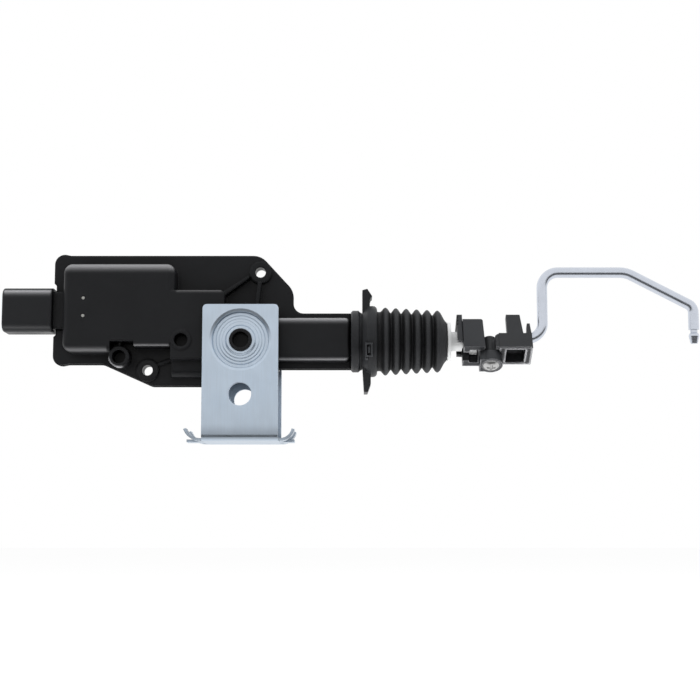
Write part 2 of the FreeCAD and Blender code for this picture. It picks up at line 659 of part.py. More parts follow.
# Cover: the front shell, with its bosses and ribs
cover, cover_add, cover_cut = shell("housing_cover", True, "dim.cover_inset")
for number, front in (("one", "dim.socket_one_front"), ("two", "dim.socket_two_front")):
    place = ("dim.socket_%s_x" % number, "dim.socket_%s_z" % number)
    cover_add("socket_boss_" + number, front, None, [place + ("dim.socket_radius + dim.socket_wall",)])
    cover_cut("socket_hole_" + number, front, None, [place + ("dim.socket_radius",)],
              "%s - dim.socket_depth" % front)
cover_add("slant_rib", "dim.rib_depth", [
    ("dim.worm_box_right - dim.rib", "dim.worm_box_top - dim.rib * 1.2"),
    ("dim.worm_box_right", "dim.worm_box_top - dim.rib * 1.2"),
    ("dim.screw_upper_x - dim.screw_boss", "dim.screw_upper_z - dim.rib * 2.4"),
    ("dim.screw_upper_x - dim.screw_boss", "dim.screw_upper_z - dim.rib * 1.3"),
    ("dim.worm_box_right - dim.rib", "dim.worm_box_top"),
])
rib_foot = "dim.gear_box_top - dim.wall / 2"
rib_head = "dim.screw_upper_z - dim.screw_boss + dim.run_gap * 8"
cover_add("upright_rib", "dim.rib_depth", [
    ("dim.screw_upper_x - dim.rib * 2.1", rib_foot),
    ("dim.screw_upper_x - dim.rib * 0.7", rib_foot),
    ("dim.screw_upper_x + dim.rib * 0.55", rib_head),
    ("dim.screw_upper_x - dim.rib * 0.75", rib_head),
])
cover_add("lower_rib", "dim.screw_boss_depth - dim.seat_gap", [
    ("dim.screw_lower_x + dim.screw_radius", "dim.screw_lower_z + dim.rib * 2"),
    ("dim.screw_lower_x + dim.screw_radius + dim.rib / 2", "dim.screw_lower_z + dim.rib"),
    ("dim.gear_box_left + dim.rib", "dim.gear_front_low + dim.rib * 0.4"),
    ("dim.gear_box_left + dim.rib", "dim.gear_front_low + dim.rib * 1.6"),
])
cover_add("socket_rib", "dim.socket_one_front - dim.rib", rectangle(
    "dim.socket_one_x - dim.rib / 2", "dim.socket_one_z + dim.socket_radius + dim.socket_wall / 2",
    "dim.socket_one_x + dim.rib / 2", "dim.recess_top + dim.rib"))
for level in ("upper", "lower"):
    place = ("dim.pin_x", TERMINAL_HEIGHT[level])
    cover_cut("pin_hole_" + level, "dim.box_depth", None, [place + ("dim.pin_radius + dim.run_gap",)],
              "dim.can_half")
GEAR_AXIS = ("dim.gear_x", GEAR_HEIGHT)
cover_cut("wheel_room", "dim.wheel_half + dim.seat_gap", None,
          [GEAR_AXIS + ("dim.wheel_module * (dim.wheel_teeth / 2 + 1) + dim.seat_gap * 2",)])
cover_cut("arm_room", "dim.arm_front + dim.seat_gap", rectangle(
    SHAFT_ROOM_END, f"{RACK_LOW} - dim.seat_gap", ARM_STOP, "dim.plunger_height"))
cover_cut("axle_hole", "dim.axle_reach", None, [GEAR_AXIS + ("dim.axle_radius + dim.run_gap / 2",)])

# Base: the rear shell, with the channels of the rack and the pinion
base, base_add, base_cut = shell("housing_base", False, "0")
base_cut("wheel_room", "dim.wheel_half + dim.seat_gap", None,
         [GEAR_AXIS + ("dim.wheel_module * (dim.wheel_teeth / 2 + 1) + dim.seat_gap * 2",)])
base_cut("pinion_room", "dim.pinion_back + dim.seat_gap", None,
         [GEAR_AXIS + ("dim.pinion_module * (dim.pinion_teeth / 2 + 1) + dim.seat_gap * 2",)])
base_add("rack_box", "dim.gear_box_depth", rectangle(
    f"{RACK_STOP} - dim.bumper - dim.wall", "dim.gear_box_low",
    "dim.gear_box_left + dim.wall / 2", GEAR_HEIGHT))
base_cut("rack_room", "dim.rack_back + dim.seat_gap", rectangle(
    f"{RACK_STOP} - dim.bumper", f"{RACK_LOW} - dim.seat_gap", ARM_STOP, RACK_ROOM_TOP))
base_cut("axle_hole", "dim.pinion_back + dim.seat_gap + 1.5", None,
         [GEAR_AXIS + ("dim.axle_radius + dim.run_gap / 2",)])

# Connector shroud: an open socket with a throat held between the shells
shroud = body("connector_shroud")
SHROUD_OUTER = rectangle("-dim.shroud_depth", "dim.shroud_height - dim.shroud_half",
                         "dim.shroud_depth", "dim.shroud_height + dim.shroud_half")
extrude(shroud, "shroud_block", "YZ_Plane", "dim.shroud_end", "dim.shroud_back", SHROUD_OUTER)
fillet(shroud, "shroud_corners", "dim.shroud_round", upright_at(0, SHROUD_OUTER))
extrude(shroud, "shroud_throat", "YZ_Plane", "dim.shroud_back - dim.shroud_floor / 2",
        f"{BOX_INNER} - dim.seat_gap", rectangle(
            "-dim.throat_depth", "dim.shroud_height - dim.throat_half",
            "dim.throat_depth", "dim.shroud_height + dim.throat_half"))
SHROUD_INNER = rectangle(
    "-dim.shroud_depth + dim.shroud_wall", "dim.shroud_height - dim.shroud_half + dim.shroud_wall",
    "dim.shroud_depth - dim.shroud_wall", "dim.shroud_height + dim.shroud_half - dim.shroud_wall")
extrude(shroud, "shroud_socket", "YZ_Plane", "dim.shroud_end", "dim.shroud_back - dim.shroud_floor",
        SHROUD_INNER, cut=True)
fillet(shroud, "socket_corners", "dim.shroud_round - dim.shroud_wall", upright_at(0, SHROUD_INNER))
shroud_side = size("dim.shroud_depth") - 0.1
fillet(shroud, "shroud_rim", "dim.shroud_rim",
       in_plane(0, "dim.shroud_end", lambda spot: abs(spot.y) > shroud_side))
for level in ("upper", "lower"):
    height = TERMINAL_HEIGHT[level]
    slot_half = "dim.blade_half + dim.run_gap / 2"
    slot_rise = "dim.blade_sheet / 2 + dim.run_gap / 2"
    slot = rectangle(f"-({slot_half})", f"{height} - ({slot_rise})", slot_half, f"{height} + {slot_rise}")
    extrude(shroud, "blade_slot_" + level, "YZ_Plane", "dim.shroud_back - dim.shroud_floor * 1.5",
            BOX_INNER, slot, cut=True)

# Terminals: a blade in the socket, a strip, and a pin that shows in the cover
for level in ("upper", "lower"):
    terminal = body("terminal_" + level)
    height = TERMINAL_HEIGHT[level]
    extrude(terminal, "blade_" + level, "XY_Plane", height + " - dim.blade_sheet / 2",
            height + " + dim.blade_sheet / 2", [
                ("dim.blade_tip", "-dim.blade_half + 1"),
                ("dim.blade_tip + 1.5", "-dim.blade_half"),
                ("dim.pin_x + 1.5", "-dim.blade_half"),
                ("dim.pin_x + 1.5", "dim.blade_half"),
                ("dim.blade_tip + 1.5", "dim.blade_half"),
                ("dim.blade_tip", "dim.blade_half - 1"),
            ])
    extrude(terminal, "pin_" + level, "XZ_Plane", "-dim.box_depth - dim.run_gap", "-dim.blade_half / 2", None,
            [("dim.pin_x", height, "dim.pin_radius")])

# Circuit breaker above the upper terminal, with its leg down to it
breaker = body("circuit_breaker")
BREAKER_TOP = "(dim.box_top - dim.wall - dim.seat_gap)"
extrude(breaker, "breaker_case", "XZ_Plane", "-dim.breaker_half", "dim.breaker_half", rectangle(
    f"{BOX_INNER} + dim.seat_gap", f"{BREAKER_TOP} - dim.breaker_height",
    "dim.can_rear - dim.wall", BREAKER_TOP))
extrude(breaker, "breaker_leg", "XZ_Plane", "-dim.blade_sheet", "dim.blade_sheet", rectangle(
    "dim.pin_x - dim.blade_sheet / 2", f"{TERMINAL_HEIGHT['upper']} + dim.blade_sheet / 2 + dim.run_gap",
    "dim.pin_x + dim.blade_sheet / 2", f"{BREAKER_TOP} - dim.breaker_height / 2"))

# Motor: can with two flats, end cap, magnets, brushes and bushes
can = body("motor_can")
CAN_CIRCLE = ("0", MOTOR_HEIGHT)
extrude(can, "can_barrel", "YZ_Plane", "dim.can_rear", "dim.can_front", None,
        [CAN_CIRCLE + ("dim.can_radius",)])
extrude(can, "can_boss", "YZ_Plane", "dim.can_front - 0.5", "dim.can_front + 1.6", None,
        [CAN_CIRCLE + ("dim.bush_radius + dim.can_wall",)])
CAN_FLATS = (
    ("front", "-dim.can_radius - 1", "-dim.can_half"),
    ("back", "dim.can_half", "dim.can_radius + 1"),
)
for side, low, high in CAN_FLATS:
    extrude(can, "can_flat_" + side, "XZ_Plane", low, high, rectangle(
        "dim.can_rear - 1", f"{MOTOR_HEIGHT} - dim.can_radius - 1", "dim.can_front + 0.01",
        f"{MOTOR_HEIGHT} + dim.can_radius + 1"), cut=True)
extrude(can, "can_room", "YZ_Plane", "dim.can_rear", "dim.can_front - dim.can_wall", None,
        [CAN_CIRCLE + ("dim.can_room",)], cut=True)
extrude(can, "can_bore", "YZ_Plane", "dim.can_front - dim.can_wall - 1", "dim.can_front + 1.6", None,
        [CAN_CIRCLE + ("dim.bush_radius",)], cut=True)

cap = body("motor_end_cap")
extrude(cap, "cap_disc", "YZ_Plane", "dim.can_rear", "dim.can_rear + dim.cap_depth", None,
        [CAN_CIRCLE + ("dim.can_room - 0.05",)])
extrude(cap, "cap_bore", "YZ_Plane", "dim.can_rear", "dim.can_rear + dim.cap_depth", None,
        [CAN_CIRCLE + ("dim.bush_radius",)], cut=True)

for label, left, right in (
    ("motor_bush_rear", "dim.can_rear", "dim.can_rear + dim.cap_depth"),
    ("motor_bush_front", "dim.can_front - dim.can_wall", "dim.can_front + 1.6"),
):
    bush = body(label)
    extrude(bush, label + "_ring", "YZ_Plane", left, right, None, [
        CAN_CIRCLE + ("dim.bush_radius - 0.01",), CAN_CIRCLE + ("dim.motor_shaft + dim.run_gap",)])

ARMATURE_LEFT = "dim.can_front - dim.can_wall * 3 - dim.armature_length"
motor_left = size("dim.can_rear")
motor_length = size("dim.can_front - dim.can_rear")
motor_height = size(MOTOR_HEIGHT)
armature_left = size(ARMATURE_LEFT)
armature_length = size("dim.armature_length")
magnet_outer = size("dim.can_room - 0.03")
magnet_ring = cylinder_x(magnet_outer, armature_left, armature_left + armature_length, motor_height)
magnet_ring = magnet_ring.cut(cylinder_x(size("dim.armature_radius + dim.air_gap"), motor_left,
                                         motor_left + motor_length, motor_height))
side_slot = Part.makeBox(motor_length, 2 * magnet_outer, magnet_outer,
                         Vector(motor_left, -magnet_outer, motor_height - magnet_outer / 2))
solid_of("motor_magnets", magnet_ring.cut(side_slot))

brushes = []
brush_width = size("dim.brush_width")
brush_reach = size("dim.brush_reach")
brush_height = size("dim.brush_height")
for sign in (-1, 1):
    inner = size("dim.commutator_radius + dim.run_gap")
    start = inner if sign > 0 else -inner - brush_reach
    brush_left = size("dim.can_rear + dim.cap_depth + dim.seat_gap")
    corner = Vector(brush_left, start, motor_height - brush_height / 2)
    brushes.append(Part.makeBox(brush_width, brush_reach, brush_height, corner))
solid_of("motor_brushes", Part.makeCompound(brushes))

# Rotor: shaft, armature with three slots, commutator and worm
rotor_shaft = body("motor_shaft")
extrude(rotor_shaft, "rotor_rod", "YZ_Plane", "dim.can_rear + 0.2",
        "dim.worm_left + dim.worm_length + 1.2", None, [CAN_CIRCLE + ("dim.motor_shaft",)])

armature = cylinder_x(size("dim.armature_radius"), armature_left, armature_left + armature_length, motor_height)
slot_width = size("dim.armature_slot")
for turn in range(3):
    slot = Part.makeBox(motor_length, slot_width, size("dim.armature_radius"),
                        Vector(motor_left, -slot_width / 2, size("dim.armature_radius * 0.45")))
    slot.rotate(Vector(0, 0, 0), Vector(1, 0, 0), 120 * turn)
    slot.translate(Vector(0, 0, motor_height))
    armature = armature.cut(slot)
shaft_bore = size("dim.motor_shaft + 0.01")
armature = armature.cut(cylinder_x(shaft_bore, motor_left, motor_left + motor_length, motor_height))
solid_of("armature", armature)

commutator = body("commutator")
extrude(commutator, "commutator_ring", "YZ_Plane", ARMATURE_LEFT + " - 0.4 - dim.commutator_length",
        ARMATURE_LEFT + " - 0.4", None, [
            CAN_CIRCLE + ("dim.commutator_radius",), CAN_CIRCLE + ("dim.motor_shaft + 0.01",)])


def worm_shape():
    """A worm with its threads about the motor's axis, gaps in line with the wheel's upright tooth."""
    pitch = math.pi * size("dim.wheel_module")
    starts = int(size("dim.worm_starts"))
    lead = pitch * starts
    root = size("dim.worm_root")
    outer = size("dim.worm_radius")
    left = size("dim.worm_left")
    length = size("dim.worm_length")
    worm = Part.makeCylinder(root, length, Vector(left, 0, 0), Vector(1, 0, 0))
    keep = Part.makeCylinder(outer + 1, length, Vector(left, 0, 0), Vector(1, 0, 0))
    first_crest = size("dim.gear_x") + pitch / 2
    while first_crest > left - lead:
        first_crest -= lead
    for start in range(starts):
        helix = Part.makeHelix(lead, length + 3 * lead, root)
        outline = Part.makePolygon([
            Vector(root - 0.3, 0, -pitch * 0.3), Vector(outer, 0, -pitch * 0.13),
            Vector(outer, 0, pitch * 0.13), Vector(root - 0.3, 0, pitch * 0.3),
            Vector(root - 0.3, 0, -pitch * 0.3)])
        thread = Part.Wire(helix).makePipeShell([outline], True, True)
        # The helix is made about Z: its axis is laid along X, its start at the bottom.
        thread.rotate(Vector(0, 0, 0), Vector(0, 1, 0), 90)
        thread.translate(Vector(first_crest + start * pitch, 0, 0))
        worm = worm.fuse(thread.common(keep))
    worm = worm.cut(Part.makeCylinder(shaft_bore, length, Vector(left, 0, 0), Vector(1, 0, 0)))
    worm.translate(Vector(0, 0, size(MOTOR_HEIGHT)))
    return worm


solid_of("worm", worm_shape())


def toothed(label, module, teeth, tooth, root, low, high, bore, half_turn):
    """A spur gear about the gear axis: a disc and one tooth, turned round by a pattern."""
    made = body(label)
    lift = "-(%s)" % high
    disc_sketch = new_sketch(made, label + "_disc_sketch", "XZ_Plane", lift, GEAR_AXIS)
    add_circle(disc_sketch, "0", "0", root)
    add_circle(disc_sketch, "0", "0", bore)
    disc = made.newObject("PartDesign::Pad", label + "_disc")
    disc.Profile = disc_sketch
    disc.setExpression("Length", "(%s) - (%s)" % (high, low))
    tooth_sketch = new_sketch(made, label + "_tooth_sketch", "XZ_Plane", lift, GEAR_AXIS)
    if half_turn:
        tooth_sketch.setExpression("AttachmentOffset.Rotation.Angle", "180 / %s" % teeth)
        tooth_sketch.AttachmentOffset = Placement(tooth_sketch.AttachmentOffset.Base,
                                                  Rotation(Vector(0, 0, 1), 180 / size(teeth)))
    left_side = [("-(%s)" % half, radius) for half, radius in tooth]
    right_side = [(half, radius) for half, radius in reversed(tooth)]
    add_polygon(tooth_sketch, left_side + right_side)
    one = made.newObject("PartDesign::Pad", label + "_tooth")
    one.Profile = tooth_sketch
    one.setExpression("Length", "(%s) - (%s)" % (high, low))
    doc.recompute()
    ring = made.newObject("PartDesign::PolarPattern", label + "_teeth")
    ring.Originals = [one]
    ring.Axis = (disc_sketch, ["N_Axis"])
    ring.Angle = 360
    ring.setExpression("Occurrences", teeth)
    made.Tip = ring
    return made


WHEEL = "dim.wheel_module"
WHEEL_PITCH = "dim.wheel_module * dim.wheel_teeth / 2"
toothed("worm_wheel", WHEEL, "dim.wheel_teeth", [
    ("%s * 1.1" % WHEEL, "%s - %s * 1.5" % (WHEEL_PITCH, WHEEL)),
    ("%s * 0.68" % WHEEL, WHEEL_PITCH),
    ("%s * 0.42" % WHEEL, "%s + %s" % (WHEEL_PITCH, WHEEL)),
], "%s - %s * 1.3" % (WHEEL_PITCH, WHEEL), "-dim.wheel_half", "dim.wheel_half",
    "dim.axle_radius + dim.run_gap", False)
PINION = "dim.pinion_module"
PINION_PITCH = "dim.pinion_module * dim.pinion_teeth / 2"
toothed("pinion", PINION, "dim.pinion_teeth", [
    ("%s * 0.74" % PINION, "%s - %s * 1.3" % (PINION_PITCH, PINION)),
    ("%s * 0.74" % PINION, "%s - %s * 0.36" % (PINION_PITCH, PINION)),
    ("%s * 0.52" % PINION, "%s + %s * 0.5" % (PINION_PITCH, PINION)),
    ("%s * 0.24" % PINION, "%s + %s" % (PINION_PITCH, PINION)),
], "%s - %s * 1.1" % (PINION_PITCH, PINION), "dim.wheel_half + 0.1", "dim.pinion_back",
    "dim.axle_radius + dim.run_gap", True)

axle = body("gear_axle")
extrude(axle, "axle_rod", "XZ_Plane", "-dim.axle_reach + 0.1", "dim.pinion_back + dim.seat_gap + 1.4", None,
        [GEAR_AXIS + ("dim.axle_radius",)])

# Plunger: shaft, disc, neck and square head, with the arm and the rack
plunger = body("plunger")
revolve(plunger, "shaft", [
    ("dim.shaft_rear", "0"),
    ("dim.shaft_rear", "dim.shaft_radius"),
    ("dim.disc_x", "dim.shaft_radius"),
    ("dim.disc_x", "dim.disc_radius"),
    ("dim.disc_x + dim.disc_length", "dim.disc_radius"),
    ("dim.disc_x + dim.disc_length", "dim.shaft_radius"),
    ("dim.neck_x", "dim.shaft_radius"),
    ("dim.neck_x", "dim.neck_radius"),
    ("dim.head_x + 0.5", "dim.neck_radius"),
    ("dim.head_x + 0.5", "0"),
], "dim.plunger_height")
extrude(plunger, "arm", "XZ_Plane", "-dim.arm_front", "dim.arm_front", rectangle(
    "dim.shaft_rear", RACK_LOW, "dim.shaft_rear + dim.arm_length", "dim.plunger_height"))
extrude(plunger, "arm_foot", "XZ_Plane", "0", "dim.rack_back", rectangle(
    "dim.shaft_rear", RACK_LOW, "dim.shaft_rear + dim.arm_length", f"{RACK_ROOM_TOP} - dim.seat_gap"))
extrude(plunger, "rack_bar", "XZ_Plane", "dim.rack_front", "dim.rack_back", rectangle(
    RACK_END, RACK_LOW, "dim.shaft_rear + dim.arm_length / 2", f"{PITCH_LINE} - dim.pinion_module * 1.25"))
rack_tooth = extrude(plunger, "rack_tooth", "XZ_Plane", "dim.rack_front", "dim.rack_back", [
    ("dim.gear_x - dim.pinion_module * 1.18", PITCH_LINE + " - dim.pinion_module * 1.3"),
    ("dim.gear_x + dim.pinion_module * 1.18", PITCH_LINE + " - dim.pinion_module * 1.3"),
    ("dim.gear_x + dim.pinion_module * 0.47", PITCH_LINE + " + dim.pinion_module * 0.62"),
    ("dim.gear_x - dim.pinion_module * 0.47", PITCH_LINE + " + dim.pinion_module * 0.62"),
])
doc.recompute()
rack = plunger.newObject("PartDesign::LinearPattern", "rack_teeth")
rack.Originals = [rack_tooth]
rack.Direction = (rack_tooth.Profile[0], ["H_Axis"])
tooth_count = int(size("dim.stroke / (3.14159265 * dim.pinion_module)")) + 2
rack.setExpression("Length", "3.14159265 * dim.pinion_module * %d" % (tooth_count - 1))
rack.Occurrences = tooth_count
plunger.Tip = rack

# The head is cut from a square bar that is turned with the link.
head = Part.makeBox(size("dim.head_length"), 2 * size("dim.head_half"), 2 * size("dim.head_half"),
                    Vector(size("dim.head_x"), -size("dim.head_half"), -size("dim.head_half")))
link_frame = Placement(Vector(0, 0, size("dim.plunger_height")),
                       Rotation(Vector(1, 0, 0), -size("dim.link_roll")))
head.Placement = link_frame
head_feature = doc.addObject("Part::Feature", "square_head")
head_feature.Shape = head
plunger.Label = "plunger_body"
nodes.remove(plunger)
whole_plunger = doc.addObject("Part::Fuse", "plunger_with_head")
whole_plunger.Base = plunger
whole_plunger.Tool = head_feature
whole_plunger.Label = "plunger"
nodes.append(whole_plunger)

# Rubber end stops on both sides of the arm's travel
bumper = body("bumper_front")
extrude(bumper, "bumper_front_ring", "YZ_Plane", "dim.shaft_rear + dim.arm_length + dim.seat_gap",
        ARM_STOP, None, [
            ("0", "dim.plunger_height", "dim.tube_bore - dim.run_gap"),
            ("0", "dim.plunger_height", "dim.shaft_radius + dim.seat_gap")])
stop = body("bumper_rear")
extrude(stop, "bumper_rear_pad", "XZ_Plane", "dim.rack_front + dim.seat_gap",
        "dim.rack_back - dim.seat_gap", rectangle(
            f"{RACK_STOP} - dim.bumper + dim.run_gap / 2", RACK_LOW, RACK_STOP,
            f"{PITCH_LINE} - dim.pinion_module * 1.25"))

# Nose: guide bush, collar and boot retainer
guide = body("guide_bush")
revolve(guide, "guide_bush_turning", [
    ("dim.bush_rear", "dim.shaft_radius + dim.run_gap"),
    ("dim.bush_rear", "dim.tube_bore - 0.02"),
    ("dim.tube_end + 0.05", "dim.tube_bore - 0.02"),
    ("dim.tube_end + 0.05", "dim.bush_flange"),
    ("dim.tube_end + dim.collar_length - 0.3", "dim.bush_flange"),
    ("dim.tube_end + dim.collar_length - 0.3", "dim.nose_radius"),
    ("dim.nose_end", "dim.nose_radius"),
    ("dim.nose_end", "dim.shaft_radius + dim.run_gap"),
], "dim.plunger_height")

collar = body("tube_collar")
revolve(collar, "collar_ring", [
    ("dim.tube_end", "dim.bush_flange + 0.03"),
    ("dim.tube_end + dim.collar_length", "dim.bush_flange + 0.03"),
    ("dim.tube_end + dim.collar_length", "dim.collar_radius - 0.8"),
    ("dim.tube_end + dim.collar_length - 0.8", "dim.collar_radius"),
    ("dim.tube_end + 0.8", "dim.collar_radius"),
    ("dim.tube_end", "dim.collar_radius - 0.8"),
], "dim.plunger_height")

retainer = body("boot_retainer")
CUP_START = "dim.retainer_x + dim.retainer_plate"
CUP_SHOULDER = CUP_START + " + dim.seat_gap"
CUP_END = CUP_START + " + dim.cup_length"
HUB_START = "dim.tube_end + dim.collar_length + dim.seat_gap / 2"
revolve(retainer, "retainer_ring", [
    (HUB_START, "dim.nose_radius + 0.03"),
    (CUP_START, "dim.nose_radius + 0.03"),
    (CUP_START, "dim.cup_radius - dim.cup_wall"),
    (CUP_END, "dim.cup_radius - dim.cup_wall"),
    (CUP_END, "dim.cup_radius"),
    (CUP_SHOULDER, "dim.cup_radius"),
    ("dim.retainer_x", "dim.cup_radius - dim.cup_wall * 1.3"),
    ("dim.retainer_x", "dim.hub_radius"),
    (HUB_START, "dim.hub_radius"),
], "dim.plunger_height")
for name, place in (("cup_shoulder", CUP_SHOULDER), ("cup_rim", CUP_END)):
    fillet(retainer, name, "dim.cup_round", circle_at(0, place, "dim.cup_radius"))
WING_HALF = "dim.wing_width / 2"
barb = [
    ("dim.retainer_x - 0.1", "dim.plunger_height + 12"),
    (CUP_START + " + 1.25", "dim.plunger_height + 12"),
    (CUP_START + " + 1.25", "dim.barb_top - 5"),
    (CUP_START + " + 1.75", "dim.barb_top - 3.9"),
    (CUP_START + " + 2.3", "dim.barb_top - 3.3"),
    (CUP_START + " + 0.1", "dim.barb_top"),
    ("dim.retainer_x - 0.1", "dim.barb_top - 0.6"),
]
wing = [
    ("dim.retainer_x + 0.6", "dim.wing_low"),
    ("dim.retainer_x + 2.2", "dim.wing_low"),
    ("dim.retainer_x + 3.6", "dim.wing_low + 3.8"),
    ("dim.retainer_x + 3.6", "dim.plunger_height - 12"),
    ("dim.retainer_x - 0.1", "dim.plunger_height - 12"),
]
extrude(retainer, "retainer_barb", "XZ_Plane", "-" + WING_HALF, WING_HALF, barb)
extrude(retainer, "retainer_wing", "XZ_Plane", "-" + WING_HALF, WING_HALF, wing)
revolve(retainer, "retainer_hole", rectangle("dim.retainer_x - 1", "0", CUP_START + " + 0.01",
                                             "dim.nose_radius + 0.03"), "dim.plunger_height", cut=True)
revolve(retainer, "retainer_room", rectangle(
    CUP_START, "0", CUP_START + " + 10", "dim.cup_radius - dim.cup_wall"), "dim.plunger_height", cut=True)

# Boot: a bead in the cup, zigzag folds and an end that meets the plunger's disc
boot = body("boot")
bead_left = CUP_START + " + dim.seat_gap"
bead_right = CUP_END
outer_side = [(bead_left, "dim.cup_radius - dim.cup_wall - dim.seat_gap"),
              (bead_right, "dim.cup_radius - dim.cup_wall - dim.seat_gap")]
for fold in range(int(size("dim.fold_count"))):
    crest_x = "dim.fold_first + dim.fold_pitch * %d" % fold
    crest = "dim.crest_radius - dim.crest_taper * %d" % fold
    outer_side.append((crest_x + " - dim.fold_pitch / 2", crest + " - dim.fold_depth"))
    outer_side.append((crest_x, crest))
boot_end = "dim.disc_x - dim.seat_gap"
outer_side.append((boot_end, "dim.disc_radius"))
inner_side = [
    (bead_left, "dim.nose_radius + dim.seat_gap"),
    (bead_right, "dim.nose_radius + dim.seat_gap"),
    (bead_right + " + dim.rubber", "dim.crest_radius - dim.fold_depth - dim.rubber"),
    (crest_x, crest + " - dim.fold_depth - dim.rubber"),
    (boot_end + " - dim.rubber", "dim.disc_radius - dim.rubber"),
    (boot_end + " - dim.rubber", "dim.shaft_radius + dim.seat_gap"),
    (boot_end, "dim.shaft_radius + dim.seat_gap"),
]
revolve(boot, "boot_turning", outer_side + list(reversed(inner_side)), "dim.plunger_height")

# Link: yoke, key, clip and screw, drawn upright about the plunger's axis and then turned


def link_body(label):
    made = body(label)
    made.Placement = link_frame
    return made


yoke = link_body("link_yoke")
extrude(yoke, "yoke_block", "XZ_Plane", "-dim.yoke_half", "dim.yoke_half", [
    ("dim.yoke_left", "-dim.yoke_low"),
    ("dim.yoke_right", "-dim.yoke_low"),
    ("dim.yoke_right - dim.yoke_slant", "dim.yoke_top"),
    ("dim.yoke_left", "dim.yoke_top"),
])
fillet(yoke, "yoke_round", "dim.yoke_slant * 2",
       upright_at(1, [("dim.yoke_right - dim.yoke_slant", "dim.yoke_top")]))
extrude(yoke, "yoke_knuckle", "XY_Plane", "-dim.knuckle_low", "-dim.yoke_low - dim.seat_gap", None,
        [("dim.pivot_x", "0", "dim.knuckle_radius")])
extrude(yoke, "yoke_knuckle_root", "XY_Plane", "-dim.knuckle_low", "-dim.yoke_low + 0.5", rectangle(
    "dim.pivot_x - dim.knuckle_radius + 0.2", "-dim.knuckle_radius + 0.6", "dim.yoke_right",
    "dim.knuckle_radius - 0.6"))
extrude(yoke, "yoke_neck_slot", "XY_Plane", "-dim.yoke_low - 1", "0", rectangle(
    "dim.yoke_left - 1", "-dim.neck_radius - dim.run_gap", "dim.yoke_left + dim.yoke_wall",
    "dim.neck_radius + dim.run_gap"), cut=True)
extrude(yoke, "yoke_neck_round", "YZ_Plane", "dim.yoke_left - 1", "dim.yoke_left + dim.yoke_wall", None,
        [("0", "0", "dim.neck_radius + dim.run_gap")], cut=True)
HEAD_ROOM = "dim.head_half + dim.seat_gap"
extrude(yoke, "yoke_head_room", "XY_Plane", "-dim.yoke_low - 1", HEAD_ROOM, rectangle(
    "dim.yoke_left + dim.yoke_wall", "-(%s)" % HEAD_ROOM,
    "dim.head_x + dim.head_length + dim.seat_gap", HEAD_ROOM), cut=True)
extrude(yoke, "yoke_eye_relief", "XY_Plane", "-dim.yoke_low - dim.seat_gap",
        "dim.eye_top + dim.seat_gap", None,
        [("dim.pivot_x", "0", "dim.eye_radius + dim.seat_gap")], cut=True)
extrude(yoke, "yoke_screw_hole", "XY_Plane", "-dim.knuckle_low - 1", "-dim.yoke_low + 1", None,
        [("dim.pivot_x", "0", "dim.link_screw + dim.run_gap")], cut=True)
extrude(yoke, "yoke_screw_recess", "XY_Plane", "-dim.knuckle_low - 1",
        "-dim.knuckle_low + dim.screw_head_depth", None,
        [("dim.pivot_x", "0", "dim.screw_head + 0.25")], cut=True)

key = link_body("yoke_key")
extrude(key, "key_plate", "YZ_Plane", "dim.key_x", "dim.key_x + dim.key_length", rectangle(
    "-dim.key_half", "-dim.key_low", "dim.key_half", "dim.key_top"))
extrude(key, "key_slot", "YZ_Plane", "dim.key_x - 1", "dim.key_x + dim.key_length + 1", rectangle(
    "-dim.shaft_radius - 0.1", "-dim.key_low - 1", "dim.shaft_radius + 0.1", "0"), cut=True)
extrude(key, "key_round", "YZ_Plane", "dim.key_x - 1", "dim.key_x + dim.key_length + 1", None,
        [("0", "0", "dim.shaft_radius + 0.1")], cut=True)
for step in range(3):
    level = "dim.key_top - 1.6 - %.1f" % (1.9 * step)
    extrude(key, "key_groove_%d" % step, "XZ_Plane", "-dim.key_half - 1", "dim.key_half + 1", [
        ("dim.key_x - 0.1", level + " - 0.7"),
        ("dim.key_x + dim.key_notch", level),
        ("dim.key_x - 0.1", level + " + 0.7"),
    ], cut=True)

# The clip's channel follows the rod.
CHANNEL_FLOOR = f"({ROD_UP} - dim.rod_radius - dim.run_gap)"
CHANNEL_FOOT = f"({CHANNEL_FLOOR} - dim.clip_web / 2)"
CHANNEL_FRONT = f"({ROD_ACROSS} - dim.rod_radius - dim.run_gap)"
CHANNEL_BACK = f"({ROD_ACROSS} + dim.rod_radius + dim.run_gap)"
clip = link_body("link_clip")
extrude(clip, "clip_block", "XY_Plane", "-dim.clip_low", CHANNEL_FLOOR, rectangle(
    "dim.clip_left", "-dim.clip_half", "dim.clip_right", "dim.clip_half"))
extrude(clip, "clip_bridge", "XY_Plane", "-dim.clip_low", CHANNEL_FLOOR, rectangle(
    "dim.pivot_x", "-dim.eye_radius + 0.2", "dim.clip_left + 0.5", "dim.eye_radius - 0.2"))
extrude(clip, "clip_eye", "XY_Plane", "-dim.clip_low", "dim.eye_top", None,
        [("dim.pivot_x", "0", "dim.eye_radius")])
extrude(clip, "clip_front_wall", "XZ_Plane", "-dim.clip_half", CHANNEL_FRONT, rectangle(
    "dim.clip_left", CHANNEL_FOOT, "dim.clip_right", "dim.clip_front"))
extrude(clip, "clip_tower", "XZ_Plane", "-dim.clip_half", CHANNEL_FRONT, [
    ("dim.tower_left", CHANNEL_FOOT),
    ("dim.tower_left + dim.tower_width + dim.clip_draft", CHANNEL_FOOT),
    ("dim.tower_left + dim.tower_width", "dim.tower_top"),
    ("dim.tower_left", "dim.tower_top"),
])
